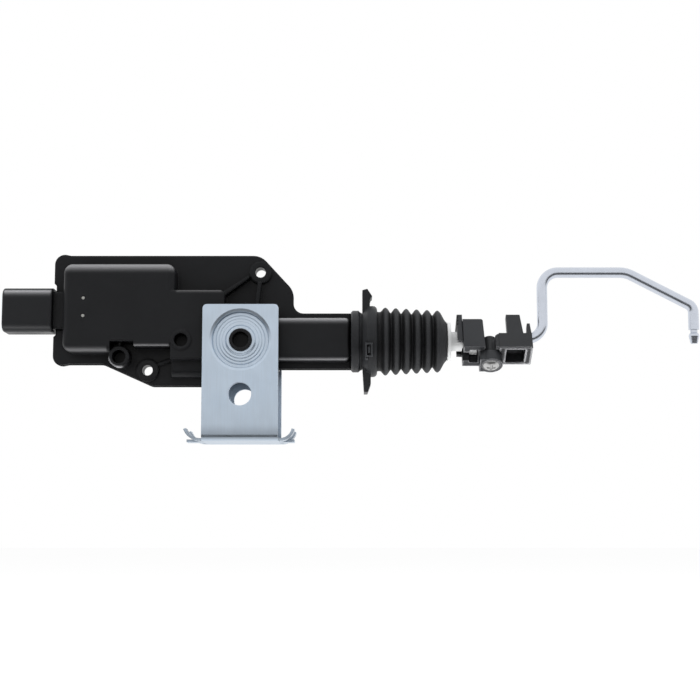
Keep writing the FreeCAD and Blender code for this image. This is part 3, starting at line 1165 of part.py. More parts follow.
extrude(clip, "clip_fin", "XZ_Plane", "-dim.clip_half", CHANNEL_FRONT, [
    ("dim.clip_right - dim.fin_width - dim.clip_draft", CHANNEL_FOOT),
    ("dim.clip_right", CHANNEL_FOOT),
    ("dim.clip_right - dim.clip_draft / 2", "dim.fin_top"),
    ("dim.clip_right - dim.clip_draft / 2 - dim.fin_width", "dim.fin_top"),
])
extrude(clip, "clip_back_wall", "XZ_Plane", CHANNEL_BACK, "dim.clip_half", [
    ("dim.tower_left", CHANNEL_FOOT),
    ("dim.clip_right", CHANNEL_FOOT),
    ("dim.clip_right", "dim.rod_radius + 1"),
    ("dim.tower_left", "dim.rod_radius + 1"),
])
extrude(clip, "clip_window", "XY_Plane", "-dim.clip_low - 1", f"{CHANNEL_FLOOR} - dim.clip_web", rectangle(
    "dim.tower_left - dim.clip_draft / 2", "-dim.clip_half + dim.clip_web",
    "dim.clip_right - dim.clip_web * 2", "dim.clip_half - dim.clip_web"), cut=True)
extrude(clip, "clip_screw_hole", "XY_Plane", "-dim.clip_low - 1", "dim.eye_top - 1.2", None,
        [("dim.pivot_x", "0", "dim.link_screw + 0.01")], cut=True)

screw = link_body("link_screw")
extrude(screw, "screw_shank", "XY_Plane", "-dim.knuckle_low + dim.screw_head_depth - 0.3",
        "dim.eye_top - 1.4", None, [("dim.pivot_x", "0", "dim.link_screw")])
extrude(screw, "screw_disc", "XY_Plane", "-dim.knuckle_low - 0.1",
        "-dim.knuckle_low + dim.screw_head_depth - 0.1", None, [("dim.pivot_x", "0", "dim.screw_head")])
for bar, across, up in (("a", "0.35", "1.7"), ("b", "1.7", "0.35")):
    extrude(screw, "screw_cross_" + bar, "XY_Plane", "-dim.knuckle_low - 1", "-dim.knuckle_low + 0.9",
            rectangle("dim.pivot_x - " + across, "-" + up, "dim.pivot_x + " + across, up), cut=True)


def bent_path(points, radii):
    """Straight runs joined by tangent arcs, as one wire."""
    edges = []
    start = points[0]
    for index in range(1, len(points) - 1):
        before = (points[index] - points[index - 1]).normalize()
        after = (points[index + 1] - points[index]).normalize()
        turn = before.getAngle(after)
        reach = radii[index - 1] * math.tan(turn / 2)
        first = points[index] - before * reach
        last = points[index] + after * reach
        inward = (after - before).normalize()
        middle = points[index] + inward * (radii[index - 1] / math.cos(turn / 2) - radii[index - 1])
        edges.append(Part.LineSegment(start, first).toShape())
        edges.append(Part.Arc(first, middle, last).toShape())
        start = last
    edges.append(Part.LineSegment(start, points[-1]).toShape())
    return Part.Wire(edges)


def rod_shape():
    """The bent rod and its grooved, tapered tip."""
    radius = size("dim.rod_radius")
    riser = size("dim.rod_riser")
    end_x = size("dim.slope_end")
    low = size(ROD_HEIGHT)
    top = size(ROD_TOP)
    neck = size(f"{ROD_TOP} - dim.neck_drop")
    groove = neck - size("dim.neck_gap")
    tip = size(f"{ROD_TOP} - dim.tip_drop")
    run = [
        Vector(size("dim.rod_start"), 0, low),
        Vector(riser, 0, low),
        Vector(riser, 0, top),
        Vector(size("dim.slope_start"), 0, top),
        Vector(end_x, 0, size(f"{ROD_TOP} - dim.slope_drop")),
        Vector(end_x, 0, neck),
    ]
    bends = ["dim.bend_lower", "dim.bend_upper", "dim.bend_slope", "dim.bend_end"]
    path = bent_path(run, [size(bend) for bend in bends])
    ring = Part.Wire(Part.makeCircle(radius, run[0], Vector(1, 0, 0)))
    bar = path.makePipeShell([ring], True, False)
    slim = size("dim.neck_slim")
    outline = Part.makePolygon([
        Vector(end_x, 0, neck + 0.2), Vector(end_x + slim, 0, neck + 0.2), Vector(end_x + slim, 0, groove),
        Vector(end_x + radius * 0.9, 0, groove - 0.4), Vector(end_x + radius, 0, groove - 1.5),
        Vector(end_x + radius * 0.66, 0, tip), Vector(end_x, 0, tip), Vector(end_x, 0, neck + 0.2)])
    point = Part.Face(outline).revolve(Vector(end_x, 0, 0), Vector(0, 0, 1), 360)
    return bar.fuse(point)


solid_of("rod", rod_shape())


def turned(outline, height):
    """A solid turned about an axis along Y at a height, from pairs of (radius, place on Y)."""
    points = [Vector(radius, place, height) for radius, place in outline]
    face = Part.Face(Part.makePolygon(points + points[:1]))
    return face.revolve(Vector(0, 0, height), Vector(0, 1, 0), 360)


def bracket_shape():
    """The U-shaped bracket: bent sheet, two dished plates, cross hole and ears."""
    out = size("dim.plate_out")
    thick = size("dim.sheet")
    half = size("dim.plate_half")
    top = size("dim.plate_top")
    low = size("dim.web_low")
    bend = size("dim.bend_radius")
    section = [
        Vector(0, -out, top), Vector(0, -out, low), Vector(0, out, low), Vector(0, out, top)]
    outer = bent_path(section, [bend, bend])
    inner_section = [
        Vector(0, out - thick, top), Vector(0, out - thick, low + thick),
        Vector(0, -out + thick, low + thick), Vector(0, -out + thick, top)]
    inner = bent_path(inner_section, [bend - thick, bend - thick])
    caps = [Part.LineSegment(section[3], inner_section[0]).toShape(),
            Part.LineSegment(inner_section[3], section[0]).toShape()]
    profile = Part.Wire(Part.sortEdges(outer.Edges + inner.Edges + caps)[0])
    sheet_metal = Part.Face(profile).extrude(Vector(2 * half, 0, 0))
    sheet_metal.translate(Vector(-half, 0, 0))
    corners = [edge for edge in sheet_metal.Edges
               if near(edge.BoundBox.ZMin, top) and near(edge.BoundBox.ZMax, top)
               and edge.BoundBox.YLength > thick / 2 and edge.BoundBox.XLength < 0.1]
    sheet_metal = sheet_metal.makeFillet(size("dim.plate_corner"), corners)
    axis = size("dim.trunnion_height")
    rim = size("dim.dish_radius")
    floor = size("dim.dish_floor")
    rise = size("dim.dish_rise")
    rings = int(size("dim.dish_rings"))
    ring_step = size("dim.ring_step")
    hole = size("dim.trunnion_radius + dim.run_gap")
    for side in (-1, 1):
        face = side * out
        back = side * (out - thick)
        sink = -side * size("dim.dish_depth")
        lip = side * size("dim.dish_lip")
        # The dish's back is pressed out of the sheet, then its front is hollowed.
        middle = side * (out - thick / 2)
        pressed = turned([
            (0, middle), (rim + thick / 2, middle), (rim + thick / 2, back),
            (floor + thick * 0.7, back + sink), (0, back + sink)], axis)
        steps = []
        for ring in range(rings):
            radius = floor + (rise - floor) * (ring + 1) / (rings + 1)
            level = face + sink + side * ring_step * ring
            steps += [(radius, level), (radius - ring_step, level + side * ring_step)]
        top_step = face + sink + side * ring_step * rings
        hollow = turned([
            (0, face + side), (rim, face + side), (rim, face),
            (rim - size("dim.dish_bevel"), face + sink / 4), (floor, face + sink)] + steps + [
            (rise, top_step), (rise - 0.8, face + sink + lip), (0, face + sink + lip)], axis)
        sheet_metal = sheet_metal.fuse(pressed).cut(hollow)
    bore = Part.makeCylinder(hole, 2 * out, Vector(0, -out, axis), Vector(0, 1, 0))
    sheet_metal = sheet_metal.cut(bore)
    cross = Part.makeCylinder(size("dim.cross_hole"), 4 * out, Vector(0, -2 * out, 0), Vector(0, 1, 0))
    sheet_metal = sheet_metal.cut(cross)
    return sheet_metal.fuse(bracket_ears())


def curled_ear(side, start, reach):
    """Outline of a strip that leaves the web's edge straight and then curls up."""
    low = size("dim.web_low")
    rise = size("dim.ear_rise")
    thick = size("dim.ear_sheet")
    bend = start + size("dim.ear_straight")
    run = reach - size("dim.ear_straight")
    turn = 2 * math.atan(rise / run)
    outer = run / math.sin(turn)
    root = start - 0.5

    def spot(radius, angle):
        return Vector(side * (bend + radius * math.sin(angle)), 0, low + outer - radius * math.cos(angle))

    edges = [
        Part.LineSegment(Vector(side * root, 0, low), spot(outer, 0)).toShape(),
        Part.Arc(spot(outer, 0), spot(outer, turn / 2), spot(outer, turn)).toShape(),
        Part.LineSegment(spot(outer, turn), spot(outer - thick, turn)).toShape(),
        Part.Arc(spot(outer - thick, turn), spot(outer - thick, turn / 2), spot(outer - thick, 0)).toShape(),
        Part.LineSegment(spot(outer - thick, 0), Vector(side * root, 0, low + thick)).toShape(),
        Part.LineSegment(Vector(side * root, 0, low + thick), Vector(side * root, 0, low)).toShape(),
    ]
    return Part.Wire(edges)


def bracket_ears():
    """Curled ears and a flat one on both edges of the web."""
    half = size("dim.plate_half")
    low = size("dim.web_low")
    thick = size("dim.ear_sheet")
    width = size("dim.ear_width")
    ears = []
    for side, reach in ((-1, size("dim.ear_reach_left")), (1, size("dim.ear_reach_right"))):
        for middle in (-size("dim.ear_spacing"), size("dim.ear_spacing")):
            ear = Part.Face(curled_ear(side, half, reach)).extrude(Vector(0, width, 0))
            ear.translate(Vector(0, middle - width / 2, 0))
            ears.append(ear)
        flat = Part.makeBox(reach * 0.95 + 0.5, width, thick)
        start = half - 0.5 if side > 0 else -half - reach * 0.95
        flat.translate(Vector(start, -width / 2, low))
        ears.append(flat)
    return ears


solid_of("bracket", bracket_shape())

# Check every object, then write each sub-part
doc.recompute()
for item in doc.Objects:
    if "Invalid" in item.State or "Error" in item.State:
        raise RuntimeError("%s is %s" % (item.Name, item.State))
doc.removeObject(reader.Name)
os.makedirs("parts", exist_ok=True)
for node in nodes:
    shape = node.Shape
    if shape.isNull() or not shape.isValid():
        raise RuntimeError("%s has no valid shape" % node.Label)
    shape.exportStep(os.path.join("parts", node.Label + ".step"))
    print("%-18s solids %d  volume %9.1f  box %s" % (
        node.Label, len(shape.Solids), shape.Volume,
        " ".join("%.1f" % value for value in (
            shape.BoundBox.XMin, shape.BoundBox.XMax, shape.BoundBox.YMin,
            shape.BoundBox.YMax, shape.BoundBox.ZMin, shape.BoundBox.ZMax))))
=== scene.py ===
import json
import math

import bmesh
import bpy
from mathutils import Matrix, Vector


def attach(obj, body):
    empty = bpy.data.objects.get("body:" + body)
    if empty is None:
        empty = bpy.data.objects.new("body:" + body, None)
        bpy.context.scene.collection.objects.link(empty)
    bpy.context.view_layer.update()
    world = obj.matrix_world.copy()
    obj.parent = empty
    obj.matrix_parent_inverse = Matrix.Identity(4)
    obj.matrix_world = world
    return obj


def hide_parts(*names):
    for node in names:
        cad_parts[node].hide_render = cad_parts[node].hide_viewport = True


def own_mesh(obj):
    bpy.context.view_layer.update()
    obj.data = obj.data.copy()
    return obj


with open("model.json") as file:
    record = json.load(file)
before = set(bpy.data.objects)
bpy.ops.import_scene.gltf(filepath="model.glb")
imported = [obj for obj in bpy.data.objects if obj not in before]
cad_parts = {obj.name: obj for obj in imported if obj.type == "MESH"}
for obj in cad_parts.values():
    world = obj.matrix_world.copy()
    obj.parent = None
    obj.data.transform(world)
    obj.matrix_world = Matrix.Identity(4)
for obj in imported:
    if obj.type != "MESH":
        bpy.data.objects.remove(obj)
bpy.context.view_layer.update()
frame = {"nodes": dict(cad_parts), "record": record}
NODES = frame["nodes"]
MM = 0.001
WHITE = (1.0, 1.0, 1.0, 1.0)

# Camera and view of the photograph
CAMERA_PLACE = Vector((0.04815, -0.6452, -0.0578))
CAMERA_AIM = Vector((0.04815, 0.0, 0.02139))
camera_data = bpy.data.cameras.new("camera")
camera_data.lens = 74.3
camera_data.sensor_width = 36.0
camera_data.clip_start = 0.01
camera_data.clip_end = 20.0
camera = bpy.data.objects.new("camera", camera_data)
camera.location = CAMERA_PLACE
camera.rotation_mode = "QUATERNION"
camera.rotation_quaternion = (CAMERA_AIM - CAMERA_PLACE).to_track_quat("-Z", "Y")
bpy.context.scene.collection.objects.link(camera)
bpy.context.scene.camera = camera
bpy.context.scene.view_settings.view_transform = "Standard"


class Nodes:
    """Short calls for building one material's or the world's nodes."""

    def __init__(self, tree):
        self.tree = tree
        tree.nodes.clear()

    def add(self, kind, inputs=None, **settings):
        node = self.tree.nodes.new(kind)
        for key, value in settings.items():
            setattr(node, key, value)
        for key, value in (inputs or {}).items():
            if isinstance(value, bpy.types.NodeSocket):
                self.tree.links.new(value, node.inputs[key])
            else:
                node.inputs[key].default_value = value
        return node

    def math(self, operation, first, second=0.0, clamp=False):
        node = self.add("ShaderNodeMath", {0: first, 1: second}, operation=operation, use_clamp=clamp)
        return node.outputs[0]

    def scaled(self, coordinates, scale):
        return self.add("ShaderNodeMapping", {"Vector": coordinates, "Scale": scale}).outputs[0]

    def noise(self, coordinates, scale, detail=3.0, roughness=0.5):
        node = self.add("ShaderNodeTexNoise", {
            "Vector": coordinates, "Scale": scale, "Detail": detail, "Roughness": roughness})
        return node.outputs["Fac"]

    def ramp(self, value, low, high, first=0.0, last=1.0):
        node = self.add("ShaderNodeMapRange", {
            "Value": value, "From Min": low, "From Max": high, "To Min": first, "To Max": last})
        node.interpolation_type = "SMOOTHSTEP"
        return node.outputs[0]

    def mix(self, share, first, second):
        node = self.add("ShaderNodeMix", data_type="RGBA")
        for socket, value in zip((node.inputs[0], node.inputs[6], node.inputs[7]), (share, first, second)):
            if isinstance(value, bpy.types.NodeSocket):
                self.tree.links.new(value, socket)
            else:
                socket.default_value = value
        return node.outputs[2]


def colour(values, factor=1.0):
    return tuple(min(1.0, value * factor) for value in values) + (1.0,)


def edge_share(nodes, radius, low=0.005, high=0.22):
    """How near a point lies to an edge: 0 on flat faces, 1 on the edge."""
    bevel = nodes.add("ShaderNodeBevel", {"Radius": radius}, samples=6)
    geometry = nodes.add("ShaderNodeNewGeometry")
    product = nodes.add("ShaderNodeVectorMath", {0: bevel.outputs[0], 1: geometry.outputs["Normal"]},
                        operation="DOT_PRODUCT")
    away = nodes.math("SUBTRACT", 1.0, product.outputs["Value"], clamp=True)
    return nodes.ramp(away, low, high), bevel.outputs[0]


def hollow_share(nodes, reach, deep=0.15):
    """How deep a point lies in a corner or a gap: 0 in the open, 1 deep inside."""
    shade = nodes.add("ShaderNodeAmbientOcclusion", {"Distance": reach}, samples=8)
    return nodes.ramp(shade.outputs["AO"], deep, 0.92, 1.0, 0.0)


# Painted highlights along the front edges of the shells and the connector, in mm: from x to x, the height
# where a band fades, the height of its edge, and how pale it is
HOUSING_HIGHLIGHT_BANDS = (
    (-79.3, -29.5, 52.8, 57.4, 0.19),
    (-79.3, -59.0, 23.4, 19.8, 0.1),
    (-51.5, -31.5, 23.6, 22.1, 0.12),
    (-29.5, -8.5, 44.4, 46.4, 0.06),
    (16.0, 47.6, 30.4, 34.3, 0.23),
    (16.0, 47.6, 18.2, 15.6, 0.21))
SHROUD_HIGHLIGHT_BANDS = (
    (-107.0, -85.0, 42.6, 48.4, 0.46),
    (-107.0, -85.0, 34.4, 29.3, 0.07))
HIGHLIGHT_BAND_FALL = 3.0
# Boss below the motor box, with a painted highlight on its rim at the lower left: x, height and radius in
# mm, how pale
BOSS_RIM_HIGHLIGHT = (-54.2, 17.2, 4.9, 0.3)
# Painted highlight bands and rim lie only on what stands ahead of the shells' flange, in mm
STAND_OUT = (-6.6, -7.4)
# Painted highlights on the plastic are a little bluer than grey
HIGHLIGHT_COOL = 1.04


def grey(level):
    return colour((level, level, level * HIGHLIGHT_COOL))


def highlight_band_share(nodes, spot, start, end, fade, edge_height):
    """How much of a painted highlight band lies at a point: 1 along its edge, falling off to where it
    fades.
    """
    near = nodes.math("POWER", nodes.ramp(spot["Z"], fade * MM, edge_height * MM), HIGHLIGHT_BAND_FALL)
    near = nodes.math("MULTIPLY", near, nodes.ramp(spot["X"], start * MM, (start + 1.0) * MM))
    near = nodes.math("MULTIPLY", near, nodes.ramp(spot["X"], end * MM, (end - 1.0) * MM))
    gone, full = (-0.9, -0.4) if edge_height < fade else (1.6, 0.8)
    past = nodes.ramp(spot["Z"], (edge_height + gone) * MM, (edge_height + full) * MM)
    return nodes.math("MULTIPLY", near, past)


def rim_highlight_share(nodes, spot, centre_x, centre_z, radius):
    """How much of a boss's painted rim highlight lies at a point: 1 on its outer edge at the lower left.
    """
    across = nodes.math("SUBTRACT", spot["X"], centre_x * MM)
    rise = nodes.math("SUBTRACT", spot["Z"], centre_z * MM)
    away = nodes.math("SQRT", nodes.math("ADD", nodes.math("MULTIPLY", across, across),
                                         nodes.math("MULTIPLY", rise, rise)))
    aside = nodes.math("ADD", nodes.math("MULTIPLY", across, -0.55), nodes.math("MULTIPLY", rise, -0.83))
    low_left = nodes.ramp(nodes.math("DIVIDE", aside, away), 0.45, 0.9)
    inside = nodes.ramp(away, (radius - 1.1) * MM, (radius - 0.4) * MM)
    outside = nodes.ramp(away, (radius + 0.8) * MM, (radius + 0.4) * MM)
    return nodes.math("MULTIPLY", nodes.math("MULTIPLY", inside, low_left), outside)


def plastic(name, base, rough, grain=0.35, edge=0.35, sheen_level=0.2, edge_tone=2.2, radius=0.0004,
            cells=1500.0, corner_shade=0.6, reach=0.004, deep=0.15, under_highlight=0.0, under_highlight_reach=0.001, highlight_bands=(), rim_highlight=()):
    """Moulded plastic: fine grain, uneven gloss, slightly worn edges, and painted shade in corners, gaps
    and folds.
    With an underside highlight level, the edges of its underside get a painted highlight as pale as that,
    varied a little by the wear noise."""
    material = bpy.data.materials.new(name)
    material.use_nodes = True
    nodes = Nodes(material.node_tree)
    place = nodes.add("ShaderNodeTexCoord").outputs["Object"]
    near_edge, soft_normal = edge_share(nodes, radius)
    cloud = nodes.noise(place, 55.0, 4.0, 0.6)
    fine = nodes.noise(place, cells, 2.0, 0.6)
    wear = nodes.ramp(nodes.noise(place, 260.0, 5.0, 0.7), 0.45, 0.75)
    tone = nodes.mix(cloud, colour(base, 0.86), colour(base, 1.16))
    worn = nodes.math("ADD", nodes.math("MULTIPLY", wear, edge), edge * 0.5)
    worn = nodes.math("MULTIPLY", near_edge, worn)
    tone = nodes.mix(worn, tone, colour(base, edge_tone))
    # Painted shade: darker in corners, gaps and the boot's folds, by ambient occlusion
    hollow = hollow_share(nodes, reach, deep)
    tone = nodes.mix(nodes.math("MULTIPLY", hollow, corner_shade), tone, colour(base, 0.2))
    # Painted highlight: pale edges on faces that look down, as if lit from below
    if under_highlight:
        near_under_edge, round_normal = edge_share(nodes, under_highlight_reach, 0.025, 0.2)
        slope = nodes.add("ShaderNodeSeparateXYZ", {0: round_normal}).outputs["Z"]
        under_highlight_share = nodes.math("MULTIPLY", nodes.ramp(slope, -0.2, -0.7), near_under_edge)
        under_highlight_share = nodes.math("MULTIPLY", under_highlight_share, nodes.ramp(hollow, 0.6, 0.05))
        under_highlight_share = nodes.math("MULTIPLY", under_highlight_share, nodes.ramp(wear, 0.0, 1.0, 0.75, 1.0))
        tone = nodes.mix(under_highlight_share, tone, grey(under_highlight))
    if highlight_bands or rim_highlight:
        spot = nodes.add("ShaderNodeSeparateXYZ", {0: place}).outputs
        proud = nodes.ramp(spot["Y"], STAND_OUT[0] * MM, STAND_OUT[1] * MM)
        facing = nodes.add("ShaderNodeTexCoord").outputs["Normal"]
        facing = nodes.add("ShaderNodeSeparateXYZ", {0: facing}).outputs["Y"]
        front = nodes.math("MULTIPLY", nodes.ramp(facing, -0.25, -0.7), proud)
    # Painted highlights: pale bands along the front edges of the shells and the connector
    for start, end, fade, edge_height, pale in highlight_bands:
        share = highlight_band_share(nodes, spot, start, end, fade, edge_height)
        tone = nodes.mix(nodes.math("MULTIPLY", share, front), tone, grey(pale))
    # Painted highlight: a pale crescent on the boss's rim at its lower left
    if rim_highlight:
        share = rim_highlight_share(nodes, spot, *rim_highlight[:3])
        tone = nodes.mix(nodes.math("MULTIPLY", share, proud), tone, grey(rim_highlight[3]))
    gloss = nodes.ramp(nodes.noise(place, 90.0, 5.0, 0.65), 0.3, 0.7, rough - 0.05, rough + 0.06)
    gloss = nodes.math("ADD", gloss, nodes.math("MULTIPLY", fine, 0.04))
    bump = nodes.add("ShaderNodeBump", {
        "Strength": grain, "Distance": 0.00002, "Height": fine, "Normal": soft_normal}).outputs[0]
    shader = nodes.add("ShaderNodeBsdfPrincipled", {
        "Base Color": tone, "Roughness": gloss, "Normal": bump,
        "Specular IOR Level": sheen_level, "IOR": 1.45})
    nodes.add("ShaderNodeOutputMaterial", {"Surface": shader.outputs[0]})
    return material


def bend_reflection_share(nodes, place):
    """How near a point of the bracket's plates lies to the bend at their foot, where a dark reflection is
    painted.
    """
    height = nodes.add("ShaderNodeSeparateXYZ", {0: place}).outputs["Z"]
    above = nodes.ramp(height, -0.0125, -0.0185)
    below = nodes.ramp(height, -0.0202, -0.0192)
    return nodes.math("MULTIPLY", above, below)


def metal(name, base, rough, stretch=(1.0, 1.0, 1.0), lines=900.0, depth=0.15, tint=None, radius=0.0003,
          corner_shade=0.35, bend_reflection=0.0):
    """Plated or ground metal: cloudy tone, fine lines, brighter edges and painted shade in corners.
    Without a radius it has no edges to soften, as a round rod."""
    material = bpy.data.materials.new(name)
    material.use_nodes = True
    nodes = Nodes(material.node_tree)
    place = nodes.add("ShaderNodeTexCoord").outputs["Object"]
    cloud = nodes.noise(place, 38.0, 4.0, 0.55)
    brushed = nodes.noise(nodes.scaled(place, stretch), lines, 3.0, 0.6)
    tone = nodes.mix(cloud, colour(base, 0.93), colour(tint or base, 1.05))
    streak = nodes.math("MULTIPLY", nodes.ramp(brushed, 0.35, 0.7), 0.22)
    tone = nodes.mix(streak, tone, colour(base, 0.8))
    # Painted shade: darker in corners, by ambient occlusion
    tone = nodes.mix(nodes.math("MULTIPLY", hollow_share(nodes, 0.003), corner_shade), tone, colour(base, 0.25))
    # Painted reflection: a darker stripe along the bracket's bend
    if bend_reflection:
        tone = nodes.mix(nodes.math("MULTIPLY", bend_reflection_share(nodes, place), bend_reflection), tone, colour(base, 0.3))
    gloss = nodes.ramp(nodes.noise(place, 120.0, 5.0, 0.6), 0.3, 0.7, rough - 0.03, rough + 0.03)
    shader = nodes.add("ShaderNodeBsdfPrincipled", {"Roughness": gloss, "Metallic": 1.0})
    if radius:
        near_edge, soft_normal = edge_share(nodes, radius)
        tone = nodes.mix(nodes.math("MULTIPLY", near_edge, 0.45), tone, colour(base, 1.2))
        bump = nodes.add("ShaderNodeBump", {
            "Strength": depth, "Distance": 0.00001, "Height": brushed, "Normal": soft_normal})
        nodes.tree.links.new(bump.outputs[0], shader.inputs["Normal"])
    nodes.tree.links.new(tone, shader.inputs["Base Color"])
    nodes.add("ShaderNodeOutputMaterial", {"Surface": shader.outputs[0]})
    return material


def slot_colour(slot):
    """The record's colour of a material slot."""
    found = [entry for entry in frame["record"]["materials"] if entry["slot"] == slot]
    return found[0]["base_color"]


def dark(slot, share=0.6):
    """A black slot's colour, deepened as the photograph shows it."""
    return tuple(value * share for value in slot_colour(slot))


MATERIALS = {
    "zinc_sheet": metal("zinc_sheet", (0.61, 0.69, 0.78), 0.36, (1.0, 1.0, 0.06), 1500.0, 0.06,
                        tint=(0.56, 0.67, 0.8), radius=0.0004, bend_reflection=0.5, corner_shade=0.12),
    "zinc_rod": metal("zinc_rod", (0.67, 0.71, 0.79), 0.24, (1.0, 1.0, 1.0), 300.0, radius=0.0),
    "screw_steel": metal("screw_steel", slot_colour("screw_steel"), 0.28, radius=0.0),
    "motor_steel": metal("motor_steel", slot_colour("motor_steel"), 0.3, (0.05, 1.0, 1.0)),
    "ground_steel": metal("ground_steel", slot_colour("ground_steel"), 0.2, (0.05, 1.0, 1.0)),
    "tinned_brass": metal("tinned_brass", (0.4, 0.4, 0.38), 0.35),
    "bronze": metal("bronze", slot_colour("bronze"), 0.42, depth=0.4),
    "copper": metal("copper", slot_colour("copper"), 0.3, (0.05, 1.0, 1.0)),
    "worm_brass": metal("worm_brass", slot_colour("worm_brass"), 0.25),
    "armature_steel": metal("armature_steel", slot_colour("armature_steel"), 0.45, (3.0, 0.1, 0.1),
                            1500.0, 0.5),
    "ferrite": plastic("ferrite", slot_colour("ferrite"), 0.6, 0.6),
    "graphite": plastic("graphite", slot_colour("graphite"), 0.5, 0.5),
    "black_housing": plastic("black_housing", dark("black_housing", 0.4), 0.36, 0.4, radius=0.0012,
                             corner_shade=1.0, reach=0.009, highlight_bands=HOUSING_HIGHLIGHT_BANDS, rim_highlight=BOSS_RIM_HIGHLIGHT),
    "connector_black": plastic("connector_black", dark("connector_black", 0.7), 0.36, 0.2, radius=0.002,
                               corner_shade=1.0, reach=0.009, highlight_bands=SHROUD_HIGHLIGHT_BANDS),
    "black_plastic": plastic("black_plastic", dark("black_plastic", 0.85), 0.4, 0.35,
                             radius=0.0008, under_highlight=0.1),
    "snap_plastic": plastic("snap_plastic", dark("black_plastic", 1.6), 0.4, 0.35,
                            edge=1.0, sheen_level=0.3, edge_tone=4.0),
    "link_black": plastic("link_black", dark("link_black", 1.4), 0.34, 0.4, sheen_level=0.17,
                          radius=0.0006, under_highlight=0.4, under_highlight_reach=0.0012),
    "clip_grey": plastic("clip_grey", dark("clip_grey", 0.52), 0.34, 0.3, sheen_level=0.17,
                         radius=0.0006, corner_shade=0.3, under_highlight=0.6, under_highlight_reach=0.0026),
    "boot_rubber": plastic("boot_rubber", dark("boot_rubber", 0.95), 0.5, 0.4, 0.25, 0.12, 1.8,
                           cells=900.0, corner_shade=1.0, reach=0.012, deep=0.68),
    "bumper_rubber": plastic("bumper_rubber", slot_colour("bumper_rubber"), 0.6, 0.6, cells=900.0),
    "pale_nylon": plastic("pale_nylon", dark("pale_nylon", 0.74), 0.3, 0.1, 0.2, 0.4, 1.05, corner_shade=0.3),
    "gear_nylon": plastic("gear_nylon", slot_colour("gear_nylon"), 0.4, 0.2, 0.2, 0.4, 1.1, corner_shade=0.3),
    "cap_white": plastic("cap_white", slot_colour("cap_white"), 0.45, 0.2, 0.2, 0.4, 1.1, corner_shade=0.3),
    "breaker_brown": plastic("breaker_brown", slot_colour("breaker_brown"), 0.45, 0.3),
}

for entry in frame["record"]["subparts"]:
    piece = NODES[entry["node"]]
    piece.data.materials.clear()
    piece.data.materials.append(MATERIALS[entry["material_slot"]])


def turned(name, outline, height, segments):
    """A closed ring mesh from an outline of (x, radius) in mm about the plunger's axis."""
    mesh = bpy.data.meshes.new(name)
    shape = bmesh.new()
    rings = []
    for along, radius in outline:
        ring = []
        for step in range(segments):
            angle = 2 * math.pi * step / segments
            across = radius * MM * math.cos(angle)
            up = height * MM + radius * MM * math.sin(angle)
            ring.append(shape.verts.new((along * MM, across, up)))
        rings.append(ring)
    for index, ring in enumerate(rings):
        following = rings[(index + 1) % len(rings)]
        for step in range(segments):
            beside = (step + 1) % segments
            shape.faces.new((ring[step], ring[beside], following[beside], following[step]))
    bmesh.ops.recalc_face_normals(shape, faces=shape.faces)
    for face in shape.faces:
        face.smooth = True
    shape.to_mesh(mesh)
    shape.free()
    piece = bpy.data.objects.new(name, mesh)
    bpy.context.scene.collection.objects.link(piece)
    return piece


# Rubber boot: rounded folds between a bead in the retainer's cup and the plunger's disc
PLUNGER_HEIGHT = 25.2
BEAD = (56.1, 60.3)
FOLDS = 6
FOLD_FIRST = 64.1
FOLD_PITCH = 4.67
CREST = 15.3
CREST_TAPER = 0.27
FOLD_DEPTH = 2.4
RUBBER = 1.1
STEPS = 14


def boot_outline():
    outer = [(BEAD[0], 13.0), (BEAD[0] + 0.3, 13.5), (BEAD[1] - 0.2, 13.5), (61.2, 13.3), (62.0, 13.45)]
    for fold in range(FOLDS):
        crest_x = FOLD_FIRST + FOLD_PITCH * fold
        crest = CREST - CREST_TAPER * fold
        first = -STEPS // 2 if fold else -STEPS // 2 + 3
        last = STEPS // 2 if fold < FOLDS - 1 else 2
        for step in range(first, last):
            phase = step / STEPS
            lift = (0.5 + 0.5 * math.cos(2 * math.pi * phase)) ** 0.65
            fold_crest = crest - CREST_TAPER * phase
            outer.append((crest_x + FOLD_PITCH * phase, fold_crest - FOLD_DEPTH * (1 - lift)))
    outer += [(88.7, 13.0), (89.7, 11.2), (90.3, 10.1), (90.9, 9.2), (91.3, 8.9), (91.4, 8.5)]
    inner = [(along, radius - RUBBER) for along, radius in outer[2:-2]]
    outer += [(91.4, 5.2), (90.4, 5.0)]
    inner = [(along, min(radius, 12.4)) for along, radius in inner]
    inner[0] = (BEAD[0], inner[0][1])
    return outer + list(reversed(inner))


boot = turned("boot_bellows", boot_outline(), PLUNGER_HEIGHT, 112)
boot.data.materials.append(MATERIALS["boot_rubber"])
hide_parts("boot")
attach(boot, "housing")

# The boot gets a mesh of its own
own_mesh(boot)


